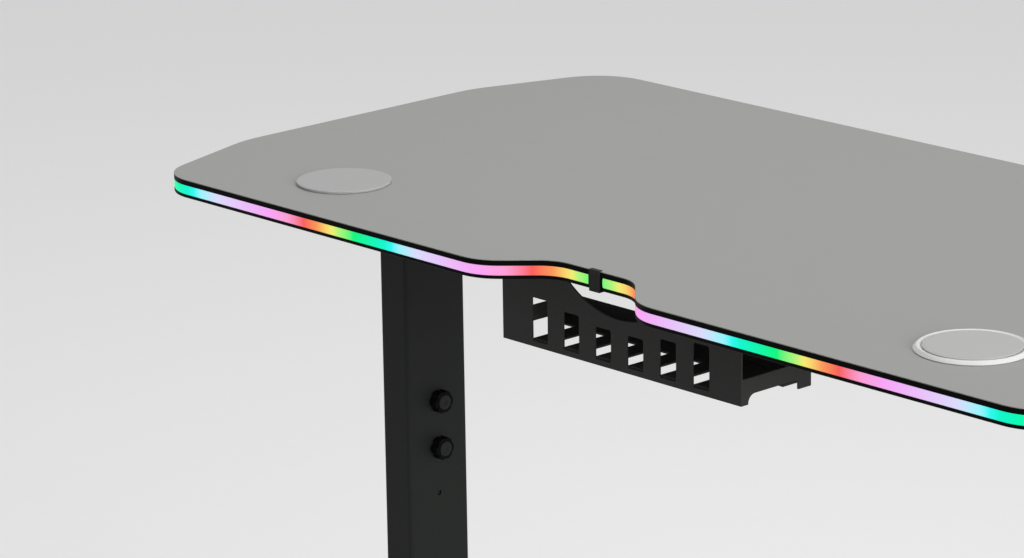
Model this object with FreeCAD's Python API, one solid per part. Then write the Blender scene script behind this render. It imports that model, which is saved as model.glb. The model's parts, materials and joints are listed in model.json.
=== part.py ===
import FreeCAD, Part
import math
import os

# Gaming desk on two telescoping T legs, with a lit edge, a cable recess, a cable tray,
# a grommet and a wireless charger let into the top.
# Millimetres. The origin is on the floor under the middle of the desk, +Z is up,
# the user sits on the -Y side and the cable recess is in the +Y edge.

# Desktop
TOP_LENGTH = 1200.0
TOP_DEPTH = 600.0
TOP_HEIGHT = 750.0
TOP_THICK = 18.0
LAMINATE_THICK = 0.7
REAR_CHAMFER_X = 45.0
REAR_CHAMFER_Y = 141.0
FRONT_CHAMFER_X = 50.0
FRONT_CHAMFER_Y = 152.0
REAR_CORNER_R = 50.0
SIDE_CORNER_R = 125.0
FRONT_CORNER_R = 65.0
RECESS_DEPTH = 50.0
RECESS_FLOOR = 102.0
RECESS_OUTER_R = 50.0
RECESS_INNER_R = 40.0

# Edge trim and light strip
TRIM_THICK = 2.0
LIGHT_BOTTOM = 3.1
LIGHT_HEIGHT = 9.4
LIGHT_CLEARANCE = 0.2
LIGHT_END_INSET = 30.0
DIFFUSER_DEPTH = 5.0
TAPE_GAP = 0.2
TAPE_THICK = 1.2
TAPE_MARGIN = 0.7
LIGHT_BREAK = 17.8
CLIP_WIDTH = 13.0
CLIP_THICK = 1.6
CLIP_LUG = 0.6
CLIP_REACH = 3.0
CLIP_TAIL = 22.0

# Light controller under the board
CONTROLLER_X = 230.0
CONTROLLER_LENGTH = 70.0
CONTROLLER_DEPTH = 30.0
CONTROLLER_HEIGHT = 16.0
CONTROLLER_REAR_GAP = 60.0
CONTROLLER_CORNER_R = 6.0
CONTROLLER_SOFT = 1.0
BUTTON_R = 5.0
BUTTON_HEIGHT = 4.0
BUTTON_TRAVEL = 1.0
BUTTON_LIP = 0.5
BUTTON_SOFT = 0.5
BUTTON_OFFSET = 17.5
INLET_WIDTH = 9.0
INLET_HEIGHT = 3.2
INLET_DEPTH = 8.0
INLET_OFFSET = 17.5

# Round fittings in the top
FITTING_INSET_X = 200.0
FITTING_INSET_Y = 100.0
FITTING_HOLE_R = 40.0
FITTING_CLEARANCE = 0.2
SLEEVE_WALL = 2.2
SLEEVE_DROP = 8.0
SLEEVE_FLANGE = 4.0
SLEEVE_FLANGE_THICK = 0.7
CAP_LIP_GAP = 0.5
CAP_THICK = 2.1
CAP_RIM = 1.5
CAP_SKIRT_WALL = 2.0
CAP_SKIRT_DEPTH = 8.0
CAP_CLEARANCE = 0.3
CHARGER_FLANGE = 9.9
CHARGER_RIM_HEIGHT = 4.0
CHARGER_RIM_WIDTH = 6.5
CHARGER_RIM_SOFT = 1.5
CHARGER_WALL = 2.4
CHARGER_LEDGE = 1.6
CHARGER_DROP = 14.0
CHARGER_PAD_THICK = 1.6
CHARGER_PAD_GAP = 0.9
CHARGER_COVER_THICK = 2.0
COIL_R = 22.0
COIL_HOLE_R = 10.0
COIL_THICK = 1.5
CIRCUIT_THICK = 1.6
CIRCUIT_STAND = 6.0
POST_COUNT = 4
POST_R = 2.4
POST_INSET = 4.8
NUT_WIDTH = 9.0
NUT_HEIGHT = 8.0
NUT_GRIPS = 12
NUT_GRIP_R = 3.0

# Legs
LEG_INSET = 84.0
COLUMN_WIDTH = 40.0
COLUMN_DEPTH = 80.0
COLUMN_WALL = 2.0
COLUMN_CORNER_R = 4.0
COLUMN_GAP = 0.5
OUTER_LENGTH = 438.0
COLLAR_HEIGHT = 26.0
COLLAR_GAP = 0.3
COLLAR_SOFT = 1.5
INNER_TOP_ROOM = 88.0
SHOE_GAP = 0.3
SHOE_HEIGHT = 40.0
SHOE_LIP = 4.0
KNOB_DROP = 285.0
KNOB_PITCH = 50.0
SPARE_HOLE_R = 3.0

# Clamp knobs
STUD_R = 4.0
STUD_CLEARANCE = 0.08
STUD_TIP_GAP = 0.3
WELD_NUT_R = 7.5
WELD_NUT_SIDES = 6
WELD_NUT_HEIGHT = 2.0
KNOB_GAP = 0.5
KNOB_R = 12.0
KNOB_LENGTH = 8.5
KNOB_LOBES = 6
KNOB_FLUTE_R = 4.0
KNOB_FLUTE_DEPTH = 1.6
KNOB_SOFT = 1.0

# Feet
FOOT_LENGTH = 540.0
FOOT_WIDTH = 60.0
FOOT_HEIGHT = 30.0
FOOT_WALL = 2.0
FOOT_CORNER_R = 5.0
FOOT_CAP_THICK = 4.0
FOOT_CAP_PLUG = 10.0
FOOT_CAP_SOFT = 1.5
PLUG_GAP = 0.2
LEVELLER_INSET = 40.0
LEVELLER_PAD_R = 20.0
LEVELLER_PAD_HEIGHT = 8.0
LEVELLER_SOFT = 2.0
LEVELLER_COLLAR_R = 9.0
LEVELLER_COLLAR_HEIGHT = 6.0
LEVELLER_GAP = 8.0
LEVELLER_STEM = 40.0
BOSS_R = 9.0
BOSS_HEIGHT = 8.0
BASE_PLATE_THICK = 4.0
BASE_PLATE_LENGTH = 130.0
BASE_BOLT_INSET = 10.0

# Frame under the top
ARM_LENGTH = 390.0
ARM_HEIGHT = 40.0
ARM_WALL = 2.0
ARM_CORNER_R = 3.0
ARM_CAP_THICK = 3.0
ARM_CAP_PLUG = 8.0
ARM_CAP_SOFT = 1.0
TOP_PLATE_THICK = 4.0
TOP_PLATE_LENGTH = 130.0
RAIL_DEPTH = 25.0
RAIL_HEIGHT = 40.0
RAIL_WALL = 1.8
RAIL_CORNER_R = 3.0
RAIL_END_THICK = 4.0
REAR_RAIL_INSET = 195.0
FRONT_RAIL_INSET = 25.0

# Fasteners
BOLT_R = 3.0
BOLT_HEAD_R = 5.0
BOLT_HEAD_HEIGHT = 3.5
BOLT_CLEARANCE = 0.05
BOLT_HOLE_CLEARANCE = 0.4
BOLT_SOCKET_R = 2.0
BOLT_SOCKET_DEPTH = 1.8
PLATE_BOLT_GAP = 15.5
NUT_BOSS_R = 6.0
NUT_BOSS_HEIGHT = 6.0
SCREW_R = 2.0
SCREW_HEAD_R = 4.0
SCREW_HEAD_HEIGHT = 2.5
SCREW_GRIP = 12.0
ACCESS_HOLE_R = 6.0
ARM_SCREW_Y = 115.0
RAIL_SCREW_X = 280.0

# Cable tray
TRAY_LENGTH = 306.0
TRAY_DEPTH = 89.0
TRAY_DROP = 82.0
TRAY_REAR_INSET = 78.3
TRAY_SHEET = 2.0
TRAY_FLOOR_LIFT = 5.5
TRAY_FRONT_HEIGHT = 24.0
TRAY_END_HEIGHT = 24.0
TRAY_FRONT_FOOT = 14.0
TRAY_REAR_FOOT = 7.0
TRAY_ARCH_HEIGHT = 9.0
TRAY_ARCH_FRONT_R = 4.0
TRAY_ARCH_REAR_R = 8.5
TRAY_FLANGE_WIDTH = 16.0
TRAY_FLANGE_LENGTH = 70.0
TRAY_CORNER_R = 2.0
TRAY_STRIP = 32.0
NOTCH_HALF_WIDTH = 77.0
NOTCH_DEPTH = 34.0
SLOT_COUNT = 6
SLOT_PITCH = 41.4
SLOT_WIDTH = 21.0
SLOT_MIDDLE_TOP = 36.0
SLOT_TOP_STEP = 5.5
SLOT_CORNER_R = 2.0

# Values that follow from the sizes above
TOP_UNDER = TOP_HEIGHT - TOP_THICK
HALF_LENGTH = TOP_LENGTH / 2
REAR_Y = TOP_DEPTH / 2
FRONT_Y = -TOP_DEPTH / 2
RECESS_Y = REAR_Y - RECESS_DEPTH
LIGHT_Z = TOP_UNDER + LIGHT_BOTTOM
LIGHT_END_Y = FRONT_Y + FRONT_CHAMFER_Y + LIGHT_END_INSET
LIGHT_BACK = DIFFUSER_DEPTH + TAPE_GAP + TAPE_THICK
TAPE_HEIGHT = LIGHT_HEIGHT - 2 * TAPE_MARGIN
FITTING_X = HALF_LENGTH - FITTING_INSET_X
FITTING_Y = REAR_Y - FITTING_INSET_Y
CAP_R = FITTING_HOLE_R + SLEEVE_FLANGE + CAP_LIP_GAP + CAP_RIM
CHARGER_R = FITTING_HOLE_R + CHARGER_FLANGE
LEG_X = HALF_LENGTH - LEG_INSET
LEG_INNER_X = LEG_X - COLUMN_WIDTH / 2
LEG_OUTER_X = LEG_X + COLUMN_WIDTH / 2
INNER_WIDTH = COLUMN_WIDTH - 2 * (COLUMN_WALL + COLUMN_GAP)
INNER_DEPTH = COLUMN_DEPTH - 2 * (COLUMN_WALL + COLUMN_GAP)
INNER_CORNER_R = COLUMN_CORNER_R - COLUMN_WALL / 2
KNOB_TOP_Z = TOP_HEIGHT - KNOB_DROP
PLATE_BOLT_Y = COLUMN_DEPTH / 2 + PLATE_BOLT_GAP
ARM_UNDER = TOP_UNDER - ARM_HEIGHT
PLATE_UNDER = ARM_UNDER - TOP_PLATE_THICK
OUTER_BOTTOM = PLATE_UNDER - OUTER_LENGTH
INNER_TOP = PLATE_UNDER - INNER_TOP_ROOM
FOOT_BOTTOM = LEVELLER_PAD_HEIGHT + LEVELLER_COLLAR_HEIGHT + LEVELLER_GAP
FOOT_TOP = FOOT_BOTTOM + FOOT_HEIGHT
COLUMN_BOTTOM = FOOT_TOP + BASE_PLATE_THICK
TRAY_REAR_Y = REAR_Y - TRAY_REAR_INSET
TRAY_FRONT_Y = TRAY_REAR_Y - TRAY_DEPTH
TRAY_BOTTOM = TOP_UNDER - TRAY_DROP
TRAY_FLOOR_Z = TRAY_BOTTOM + TRAY_FLOOR_LIFT
SIDES = {"right": 1, "left": -1}
FAR = 2 * (TOP_LENGTH + TOP_DEPTH)
SAME_HEIGHT = 1e-4

X_AXIS = FreeCAD.Vector(1, 0, 0)
Y_AXIS = FreeCAD.Vector(0, 1, 0)
Z_AXIS = FreeCAD.Vector(0, 0, 1)


def vec(x, y, z=0.0):
    """Point or direction."""
    return FreeCAD.Vector(x, y, z)


def block(x0, x1, y0, y1, z0, z1):
    """Box between two corners."""
    low = vec(min(x0, x1), min(y0, y1), min(z0, z1))
    return Part.makeBox(abs(x1 - x0), abs(y1 - y0), abs(z1 - z0), low)


def rod(radius, start, axis, length):
    """Cylinder from a start point along an axis."""
    return Part.makeCylinder(radius, length, start, axis)


def fuse(shapes):
    """One solid from several that touch."""
    first, *rest = shapes
    return first.multiFuse(rest).removeSplitter() if rest else first


def rounded_wire(corners):
    """Closed wire in the XY plane through (x, y, radius) corners, each rounded by an arc."""
    count = len(corners)
    spans = []
    for index, (x, y, radius) in enumerate(corners):
        here = vec(x, y)
        before = (vec(*corners[index - 1][:2]) - here).normalize()
        after = (vec(*corners[(index + 1) % count][:2]) - here).normalize()
        half = before.getAngle(after) / 2
        run = radius / math.tan(half)
        middle = (before + after).normalize()
        centre = here + middle * (radius / math.sin(half))
        spans.append((here + before * run, centre - middle * radius, here + after * run, radius))
    edges = []
    for index, (start, top, end, radius) in enumerate(spans):
        if radius > 0:
            edges.append(Part.Arc(start, top, end).toShape())
        edges.append(Part.LineSegment(end, spans[(index + 1) % count][0]).toShape())
    return Part.Wire(edges)


def rounded_plate(width, depth, radius, height):
    """Upright rounded block, centred on the Z axis, standing on Z = 0."""
    half_w = width / 2
    half_d = depth / 2
    corners = [(half_w, half_d, radius), (half_w, -half_d, radius),
               (-half_w, -half_d, radius), (-half_w, half_d, radius)]
    return Part.Face(rounded_wire(corners)).extrude(vec(0, 0, height))


def tube(width, depth, wall, radius, height):
    """Upright rectangular tube, centred on the Z axis, standing on Z = 0."""
    inside = rounded_plate(width - 2 * wall, depth - 2 * wall, max(radius - wall, wall / 2), height)
    return rounded_plate(width, depth, radius, height).cut(inside)


def laid_along_y(shape, x, y, z):
    """Turn an upright shape so that it runs along +Y from y, with its section centred on x and z."""
    turned = shape.copy()
    turned.rotate(vec(0, 0, 0), X_AXIS, -90)
    turned.translate(vec(x, y, z))
    return turned


def laid_along_x(shape, x, y, z):
    """Turn an upright shape so that it runs along +X from x, with its section centred on y and z."""
    turned = shape.copy()
    turned.rotate(vec(0, 0, 0), Y_AXIS, 90)
    turned.translate(vec(x, y, z))
    return turned


def moved(shape, x, y, z):
    """Copy of a shape, shifted."""
    copy = shape.copy()
    copy.translate(vec(x, y, z))
    return copy


def turned_profile(points, x, y):
    """Solid of revolution about a vertical axis at (x, y) from (radius, z) points."""
    wire = Part.makePolygon([vec(r, 0, z) for r, z in points + points[:1]])
    solid = Part.Face(wire).revolve(vec(0, 0, 0), Z_AXIS, 360)
    return moved(solid, x, y, 0)


def softened(shape, radius, picks):
    """Round the edges for which picks(edge) is true."""
    return shape.makeFillet(radius, [edge for edge in shape.Edges if picks(edge)])


def at_height(z):
    """Pick the edges that lie wholly at one height."""
    def picks(edge):
        box = edge.BoundBox
        return abs(box.ZMin - z) < SAME_HEIGHT and abs(box.ZMax - z) < SAME_HEIGHT
    return picks


def bolt(start, axis, length):
    """Socket-head bolt: the head stands behind start, the shank runs along the axis."""
    head = rod(BOLT_HEAD_R, start - axis * BOLT_HEAD_HEIGHT, axis, BOLT_HEAD_HEIGHT)
    socket = rod(BOLT_SOCKET_R, start - axis * BOLT_HEAD_HEIGHT, axis, BOLT_SOCKET_DEPTH)
    return fuse([head.cut(socket), rod(BOLT_R, start, axis, length)])


def screw(start, length):
    """Pan-head wood screw that points up, with the head under start."""
    head = rod(SCREW_HEAD_R, start - Z_AXIS * SCREW_HEAD_HEIGHT, Z_AXIS, SCREW_HEAD_HEIGHT)
    return fuse([head, rod(SCREW_R, start, Z_AXIS, length)])


# Desktop, trim and light strip


def outline_corners():
    """Desktop outline, from the right end of the recess floor round the front and back."""
    half_floor = RECESS_FLOOR / 2
    right = [(half_floor, RECESS_Y, RECESS_INNER_R),
             (half_floor + RECESS_DEPTH, REAR_Y, RECESS_OUTER_R),
             (HALF_LENGTH - REAR_CHAMFER_X, REAR_Y, REAR_CORNER_R),
             (HALF_LENGTH, REAR_Y - REAR_CHAMFER_Y, SIDE_CORNER_R),
             (HALF_LENGTH, FRONT_Y + FRONT_CHAMFER_Y, SIDE_CORNER_R),
             (HALF_LENGTH - FRONT_CHAMFER_X, FRONT_Y, FRONT_CORNER_R)]
    return right + [(-x, y, radius) for x, y, radius in reversed(right)]


def outline_face(inset):
    """Desktop outline drawn in by an inset, as a face at Z = 0."""
    face = Part.Face(rounded_wire(outline_corners()))
    return face.makeOffset2D(-inset) if inset else face


def edge_band(outer, inner, z, height):
    """Band that follows the outline between two insets."""
    ring = outline_face(outer).cut(outline_face(inner))
    return moved(ring.extrude(vec(0, 0, height)), 0, 0, z)


def lit_region(side, gap):
    """Space on one side of the clip where the edge is lit, drawn in by a gap."""
    start = side * (LIGHT_BREAK / 2 + gap)
    return block(start, side * FAR, LIGHT_END_Y + gap, FAR, 0, FAR)


def desktop_screw_places():
    """Places (x, y) of the screws that hold the board: on the arms and on the rails."""
    arms = [(side * LEG_X, y) for side in SIDES.values() for y in (-ARM_SCREW_Y, ARM_SCREW_Y)]
    rails = [(side * RAIL_SCREW_X, y) for side in SIDES.values() for y in rail_centres()]
    return arms, rails


def tray_screw_places():
    """Places (x, y) of the screws through the tray's flanges."""
    middle = TRAY_LENGTH / 2 - TRAY_FLANGE_LENGTH / 2
    spread = TRAY_FLANGE_LENGTH / 4
    y = TRAY_REAR_Y + TRAY_FLANGE_WIDTH / 2
    return [(side * (middle + shift), y) for side in SIDES.values() for shift in (-spread, spread)]


def make_board():
    """Board inside the trim, its laminate over the trim, with a groove for the light and round holes."""
    core = moved(outline_face(TRIM_THICK).extrude(vec(0, 0, TOP_THICK)), 0, 0, TOP_UNDER)
    laminate = moved(outline_face(0).extrude(vec(0, 0, LAMINATE_THICK)), 0, 0, TOP_HEIGHT - LAMINATE_THICK)
    board = fuse([core, laminate])
    groove = edge_band(TRIM_THICK, LIGHT_BACK + LIGHT_CLEARANCE, LIGHT_Z, LIGHT_HEIGHT)
    cuts = [groove.common(lit_region(side, 0)) for side in SIDES.values()]
    for side in SIDES.values():
        cuts.append(rod(FITTING_HOLE_R, vec(side * FITTING_X, FITTING_Y, 0), Z_AXIS, FAR))
    arm_places, rail_places = desktop_screw_places()
    for x, y in arm_places + rail_places + tray_screw_places():
        cuts.append(rod(SCREW_R + BOLT_CLEARANCE, vec(x, y, TOP_UNDER), Z_AXIS, SCREW_GRIP))
    return board.cut(Part.makeCompound(cuts))


def make_trim():
    """Band round the board under the laminate, with a window on each side for the light."""
    trim = edge_band(0, TRIM_THICK, TOP_UNDER, TOP_THICK - LAMINATE_THICK)
    window = edge_band(0, TRIM_THICK, LIGHT_Z, LIGHT_HEIGHT)
    return trim.cut(Part.makeCompound([window.common(lit_region(side, 0)) for side in SIDES.values()]))


def make_diffuser(side):
    """Milky strip in the window of the trim."""
    height = LIGHT_HEIGHT - 2 * LIGHT_CLEARANCE
    band = edge_band(0, DIFFUSER_DEPTH, LIGHT_Z + LIGHT_CLEARANCE, height)
    return band.common(lit_region(side, LIGHT_CLEARANCE))


def make_tape(side):
    """Flexible strip of lights behind the diffuser."""
    start = DIFFUSER_DEPTH + TAPE_GAP
    z = LIGHT_Z + (LIGHT_HEIGHT - TAPE_HEIGHT) / 2
    return edge_band(start, start + TAPE_THICK, z, TAPE_HEIGHT).common(lit_region(side, LIGHT_CLEARANCE))


def make_clip():
    """Bridge over the light strip: a strap down the edge with a lug on top and a tail below."""
    half = CLIP_WIDTH / 2
    face_y = RECESS_Y + CLIP_THICK
    strap = block(-half, half, RECESS_Y, face_y, TOP_UNDER - CLIP_THICK, TOP_HEIGHT + CLIP_LUG)
    lug = block(-half, half, RECESS_Y - CLIP_REACH, face_y, TOP_HEIGHT, TOP_HEIGHT + CLIP_LUG)
    tail = block(-half, half, RECESS_Y - CLIP_TAIL, face_y, TOP_UNDER - CLIP_THICK, TOP_UNDER)
    return fuse([strap, lug, tail])


# Light controller


def make_controller():
    """Small box under the board, with an inlet in its rear face and a button hole below."""
    rear = REAR_Y - CONTROLLER_REAR_GAP
    middle = rear - CONTROLLER_DEPTH / 2
    low = TOP_UNDER - CONTROLLER_HEIGHT
    case = rounded_plate(CONTROLLER_LENGTH, CONTROLLER_DEPTH, CONTROLLER_CORNER_R, CONTROLLER_HEIGHT)
    case = softened(case, CONTROLLER_SOFT, at_height(0))
    case = moved(case, CONTROLLER_X, middle, low)
    inlet_x = CONTROLLER_X + INLET_OFFSET
    inlet_z = TOP_UNDER - CONTROLLER_HEIGHT / 2
    inlet = block(inlet_x - INLET_WIDTH / 2, inlet_x + INLET_WIDTH / 2, rear - INLET_DEPTH, rear,
                  inlet_z - INLET_HEIGHT / 2, inlet_z + INLET_HEIGHT / 2)
    well = rod(BUTTON_R + CAP_CLEARANCE, vec(CONTROLLER_X - BUTTON_OFFSET, middle, low), Z_AXIS,
               BUTTON_HEIGHT + BUTTON_TRAVEL)
    return case.cut(Part.makeCompound([inlet, well]))


def make_button():
    """Button in the underside of the controller; it stands proud by its travel and a little more."""
    middle = REAR_Y - CONTROLLER_REAR_GAP - CONTROLLER_DEPTH / 2
    low = TOP_UNDER - CONTROLLER_HEIGHT
    proud = BUTTON_TRAVEL + BUTTON_LIP
    height = BUTTON_HEIGHT + proud - CAP_CLEARANCE
    button = rod(BUTTON_R, vec(CONTROLLER_X - BUTTON_OFFSET, middle, low - proud), Z_AXIS, height)
    return softened(button, BUTTON_SOFT, at_height(low - proud))


# Grommet and charger


def make_sleeve():
    """Grommet sleeve that hangs in the hole by its flange."""
    outer = FITTING_HOLE_R - FITTING_CLEARANCE
    inner = outer - SLEEVE_WALL
    flange = FITTING_HOLE_R + SLEEVE_FLANGE
    top = TOP_HEIGHT + SLEEVE_FLANGE_THICK
    profile = [(inner, TOP_UNDER - SLEEVE_DROP), (outer, TOP_UNDER - SLEEVE_DROP), (outer, TOP_HEIGHT),
               (flange, TOP_HEIGHT), (flange, top), (inner, top)]
    return turned_profile(profile, FITTING_X, FITTING_Y)


def make_cap():
    """Lid that rests on the sleeve's flange, with a rim round it and a skirt inside the sleeve."""
    seat = TOP_HEIGHT + SLEEVE_FLANGE_THICK
    skirt_outer = FITTING_HOLE_R - FITTING_CLEARANCE - SLEEVE_WALL - CAP_CLEARANCE
    skirt_inner = skirt_outer - CAP_SKIRT_WALL
    rim_low = TOP_HEIGHT + CAP_CLEARANCE
    top = seat + CAP_THICK
    profile = [(0, seat), (skirt_inner, seat), (skirt_inner, seat - CAP_SKIRT_DEPTH),
               (skirt_outer, seat - CAP_SKIRT_DEPTH), (skirt_outer, seat), (CAP_R - CAP_RIM, seat),
               (CAP_R - CAP_RIM, rim_low), (CAP_R, rim_low), (CAP_R, top), (0, top)]
    lid = turned_profile(profile, FITTING_X, FITTING_Y)
    return softened(lid, CAP_THICK / 2, at_height(top))


def charger_radii():
    """Outer and inner radius of the housing's cup."""
    outer = FITTING_HOLE_R - FITTING_CLEARANCE
    return outer, outer - CHARGER_WALL


def charger_pad_radius():
    """Radius of the seat for the pad inside the rim."""
    return CHARGER_R - CHARGER_RIM_WIDTH


def make_charger_housing():
    """Cup with a raised rim on the board and a ledge for the pad."""
    outer, inner = charger_radii()
    low = TOP_UNDER - CHARGER_DROP
    pad = charger_pad_radius()
    ledge = TOP_HEIGHT + CHARGER_LEDGE
    top = TOP_HEIGHT + CHARGER_RIM_HEIGHT
    profile = [(inner, low), (outer, low), (outer, TOP_HEIGHT), (CHARGER_R, TOP_HEIGHT), (CHARGER_R, top),
               (pad, top), (pad, ledge), (inner, ledge)]
    ring = turned_profile(profile, -FITTING_X, FITTING_Y)
    return softened(ring, CHARGER_RIM_SOFT, at_height(top))


def make_charger_pad():
    """Disc that closes the cup and carries the phone."""
    z = TOP_HEIGHT + CHARGER_LEDGE
    radius = charger_pad_radius() - CHARGER_PAD_GAP
    disc = rod(radius, vec(-FITTING_X, FITTING_Y, z), Z_AXIS, CHARGER_PAD_THICK)
    return softened(disc, CHARGER_PAD_GAP, at_height(z + CHARGER_PAD_THICK))


def make_charger_coil():
    """Flat winding that lies against the underside of the pad."""
    z = TOP_HEIGHT + CHARGER_LEDGE - COIL_THICK
    start = vec(-FITTING_X, FITTING_Y, z)
    return rod(COIL_R, start, Z_AXIS, COIL_THICK).cut(rod(COIL_HOLE_R, start, Z_AXIS, COIL_THICK))


def charger_cover_top():
    """Height of the inner face of the bottom cover."""
    return TOP_UNDER - CHARGER_DROP + CHARGER_COVER_THICK


def make_charger_circuit():
    """Round circuit board that stands on the posts of the cover, with its inlet at one side."""
    z = charger_cover_top() + CIRCUIT_STAND
    inner = charger_radii()[1] - FITTING_CLEARANCE
    return rod(inner, vec(-FITTING_X, FITTING_Y, z), Z_AXIS, CIRCUIT_THICK)


def make_charger_cover():
    """Bottom cover pushed into the cup, with posts and a slot for the inlet."""
    inner = charger_radii()[1] - FITTING_CLEARANCE
    low = TOP_UNDER - CHARGER_DROP
    cover = rod(inner, vec(-FITTING_X, FITTING_Y, low), Z_AXIS, CHARGER_COVER_THICK)
    reach = inner - POST_INSET
    posts = []
    for index in range(POST_COUNT):
        angle = 2 * math.pi * (index + 0.5) / POST_COUNT
        x = -FITTING_X + reach * math.cos(angle)
        y = FITTING_Y + reach * math.sin(angle)
        posts.append(rod(POST_R, vec(x, y, charger_cover_top()), Z_AXIS, CIRCUIT_STAND))
    slot = block(-FITTING_X - INLET_WIDTH / 2, -FITTING_X + INLET_WIDTH / 2, FITTING_Y - INLET_HEIGHT / 2,
                 FITTING_Y + INLET_HEIGHT / 2, low, charger_cover_top())
    return fuse([cover] + posts).cut(slot)


def make_charger_nut():
    """Ring nut that draws the housing down on the board, with grips round it."""
    outer = charger_radii()[0]
    ring_r = outer + NUT_WIDTH
    start = vec(-FITTING_X, FITTING_Y, TOP_UNDER - NUT_HEIGHT)
    ring = rod(ring_r, start, Z_AXIS, NUT_HEIGHT).cut(rod(outer + STUD_CLEARANCE, start, Z_AXIS, NUT_HEIGHT))
    grips = []
    for index in range(NUT_GRIPS):
        angle = 2 * math.pi * index / NUT_GRIPS
        grip = start + vec(ring_r * math.cos(angle), ring_r * math.sin(angle))
        grips.append(rod(NUT_GRIP_R, grip, Z_AXIS, NUT_HEIGHT))
    return ring.cut(Part.makeCompound(grips))


# Frame under the top


def rail_centres():
    """Y of the middle of the front rail, set in from the arm ends, and of the rear rail."""
    half = RAIL_DEPTH / 2
    return FRONT_RAIL_INSET + half - ARM_LENGTH / 2, REAR_Y - REAR_RAIL_INSET - half


def board_screw_cuts(x, y, wall, height):
    """Screw hole in the top wall of a hollow bar and the access hole below it."""
    hole = rod(SCREW_R + BOLT_CLEARANCE, vec(x, y, TOP_UNDER - wall), Z_AXIS, wall)
    access = rod(ACCESS_HOLE_R, vec(x, y, TOP_UNDER - height), Z_AXIS, wall)
    return [hole, access]


def make_arm(side):
    """Bar under the board across the top of one leg, with nuts welded in for the top plate."""
    x = side * LEG_X
    bar = laid_along_y(tube(COLUMN_WIDTH, ARM_HEIGHT, ARM_WALL, ARM_CORNER_R, ARM_LENGTH),
                       x, -ARM_LENGTH / 2, TOP_UNDER - ARM_HEIGHT / 2)
    floor = ARM_UNDER + ARM_WALL
    nuts = [rod(NUT_BOSS_R, vec(x, y, floor), Z_AXIS, NUT_BOSS_HEIGHT)
            for y in (-PLATE_BOLT_Y, PLATE_BOLT_Y)]
    cuts = []
    for y in (-PLATE_BOLT_Y, PLATE_BOLT_Y):
        cuts.append(rod(BOLT_R + BOLT_CLEARANCE, vec(x, y, ARM_UNDER), Z_AXIS, ARM_WALL + NUT_BOSS_HEIGHT))
    for y in rail_centres():
        start = vec(x - COLUMN_WIDTH / 2, y, rail_bolt_z())
        cuts.append(rod(BOLT_R + BOLT_HOLE_CLEARANCE, start, X_AXIS, COLUMN_WIDTH))
    for y in (-ARM_SCREW_Y, ARM_SCREW_Y):
        cuts += board_screw_cuts(x, y, ARM_WALL, ARM_HEIGHT)
    return fuse([bar] + nuts).cut(Part.makeCompound(cuts))


def make_arm_caps():
    """Plastic caps in the four open ends of the arms."""
    plug_w = COLUMN_WIDTH - 2 * (ARM_WALL + PLUG_GAP)
    plug_h = ARM_HEIGHT - 2 * (ARM_WALL + PLUG_GAP)
    head = rounded_plate(COLUMN_WIDTH, ARM_HEIGHT, ARM_CORNER_R, ARM_CAP_THICK)
    plug = moved(rounded_plate(plug_w, plug_h, ARM_WALL, ARM_CAP_PLUG), 0, 0, ARM_CAP_THICK)
    cap = softened(fuse([head, plug]), ARM_CAP_SOFT, at_height(0))
    caps = []
    for side in SIDES.values():
        front = laid_along_y(cap, side * LEG_X, -ARM_LENGTH / 2 - ARM_CAP_THICK, TOP_UNDER - ARM_HEIGHT / 2)
        caps += [front, front.mirror(vec(0, 0, 0), Y_AXIS)]
    return Part.makeCompound(caps)


def rail_bolt_z():
    """Height of the bolts through the arms."""
    return TOP_UNDER - ARM_HEIGHT / 2


def make_rail(y):
    """Hollow rail between the arms, closed at both ends by a tapped plate."""
    length = 2 * LEG_INNER_X
    z = TOP_UNDER - RAIL_HEIGHT / 2
    bar = tube(RAIL_HEIGHT, RAIL_DEPTH, RAIL_WALL, RAIL_CORNER_R, length)
    end = rounded_plate(RAIL_HEIGHT, RAIL_DEPTH, RAIL_CORNER_R, RAIL_END_THICK)
    rail = laid_along_x(fuse([bar, end, moved(end, 0, 0, length - RAIL_END_THICK)]), -LEG_INNER_X, y, z)
    cuts = [rod(BOLT_R + BOLT_CLEARANCE, vec(-LEG_INNER_X, y, rail_bolt_z()), X_AXIS, RAIL_END_THICK),
            rod(BOLT_R + BOLT_CLEARANCE, vec(LEG_INNER_X - RAIL_END_THICK, y, rail_bolt_z()), X_AXIS,
                RAIL_END_THICK)]
    for side in SIDES.values():
        cuts += board_screw_cuts(side * RAIL_SCREW_X, y, RAIL_WALL, RAIL_HEIGHT)
    return rail.cut(Part.makeCompound(cuts))


def make_rail_bolts():
    """Bolts through the arms and the tapped ends of the rails, and as far again past them."""
    length = COLUMN_WIDTH + 2 * RAIL_END_THICK
    bolts = []
    for side in SIDES.values():
        for y in rail_centres():
            bolts.append(bolt(vec(side * LEG_OUTER_X, y, rail_bolt_z()), X_AXIS * -side, length))
    return Part.makeCompound(bolts)


def make_top_plate(side):
    """Plate on top of the outer column, bolted up into the arm."""
    plate = moved(rounded_plate(COLUMN_WIDTH, TOP_PLATE_LENGTH, ARM_CORNER_R, TOP_PLATE_THICK),
                  side * LEG_X, 0, PLATE_UNDER)
    holes = [rod(BOLT_R + BOLT_HOLE_CLEARANCE, vec(side * LEG_X, y, PLATE_UNDER), Z_AXIS, TOP_PLATE_THICK)
             for y in (-PLATE_BOLT_Y, PLATE_BOLT_Y)]
    return plate.cut(Part.makeCompound(holes))


def make_plate_bolts():
    """Bolts that hold the top plates to the arms."""
    length = TOP_PLATE_THICK + ARM_WALL + NUT_BOSS_HEIGHT
    bolts = [bolt(vec(side * LEG_X, y, PLATE_UNDER), Z_AXIS, length)
             for side in SIDES.values() for y in (-PLATE_BOLT_Y, PLATE_BOLT_Y)]
    return Part.makeCompound(bolts)


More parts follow.
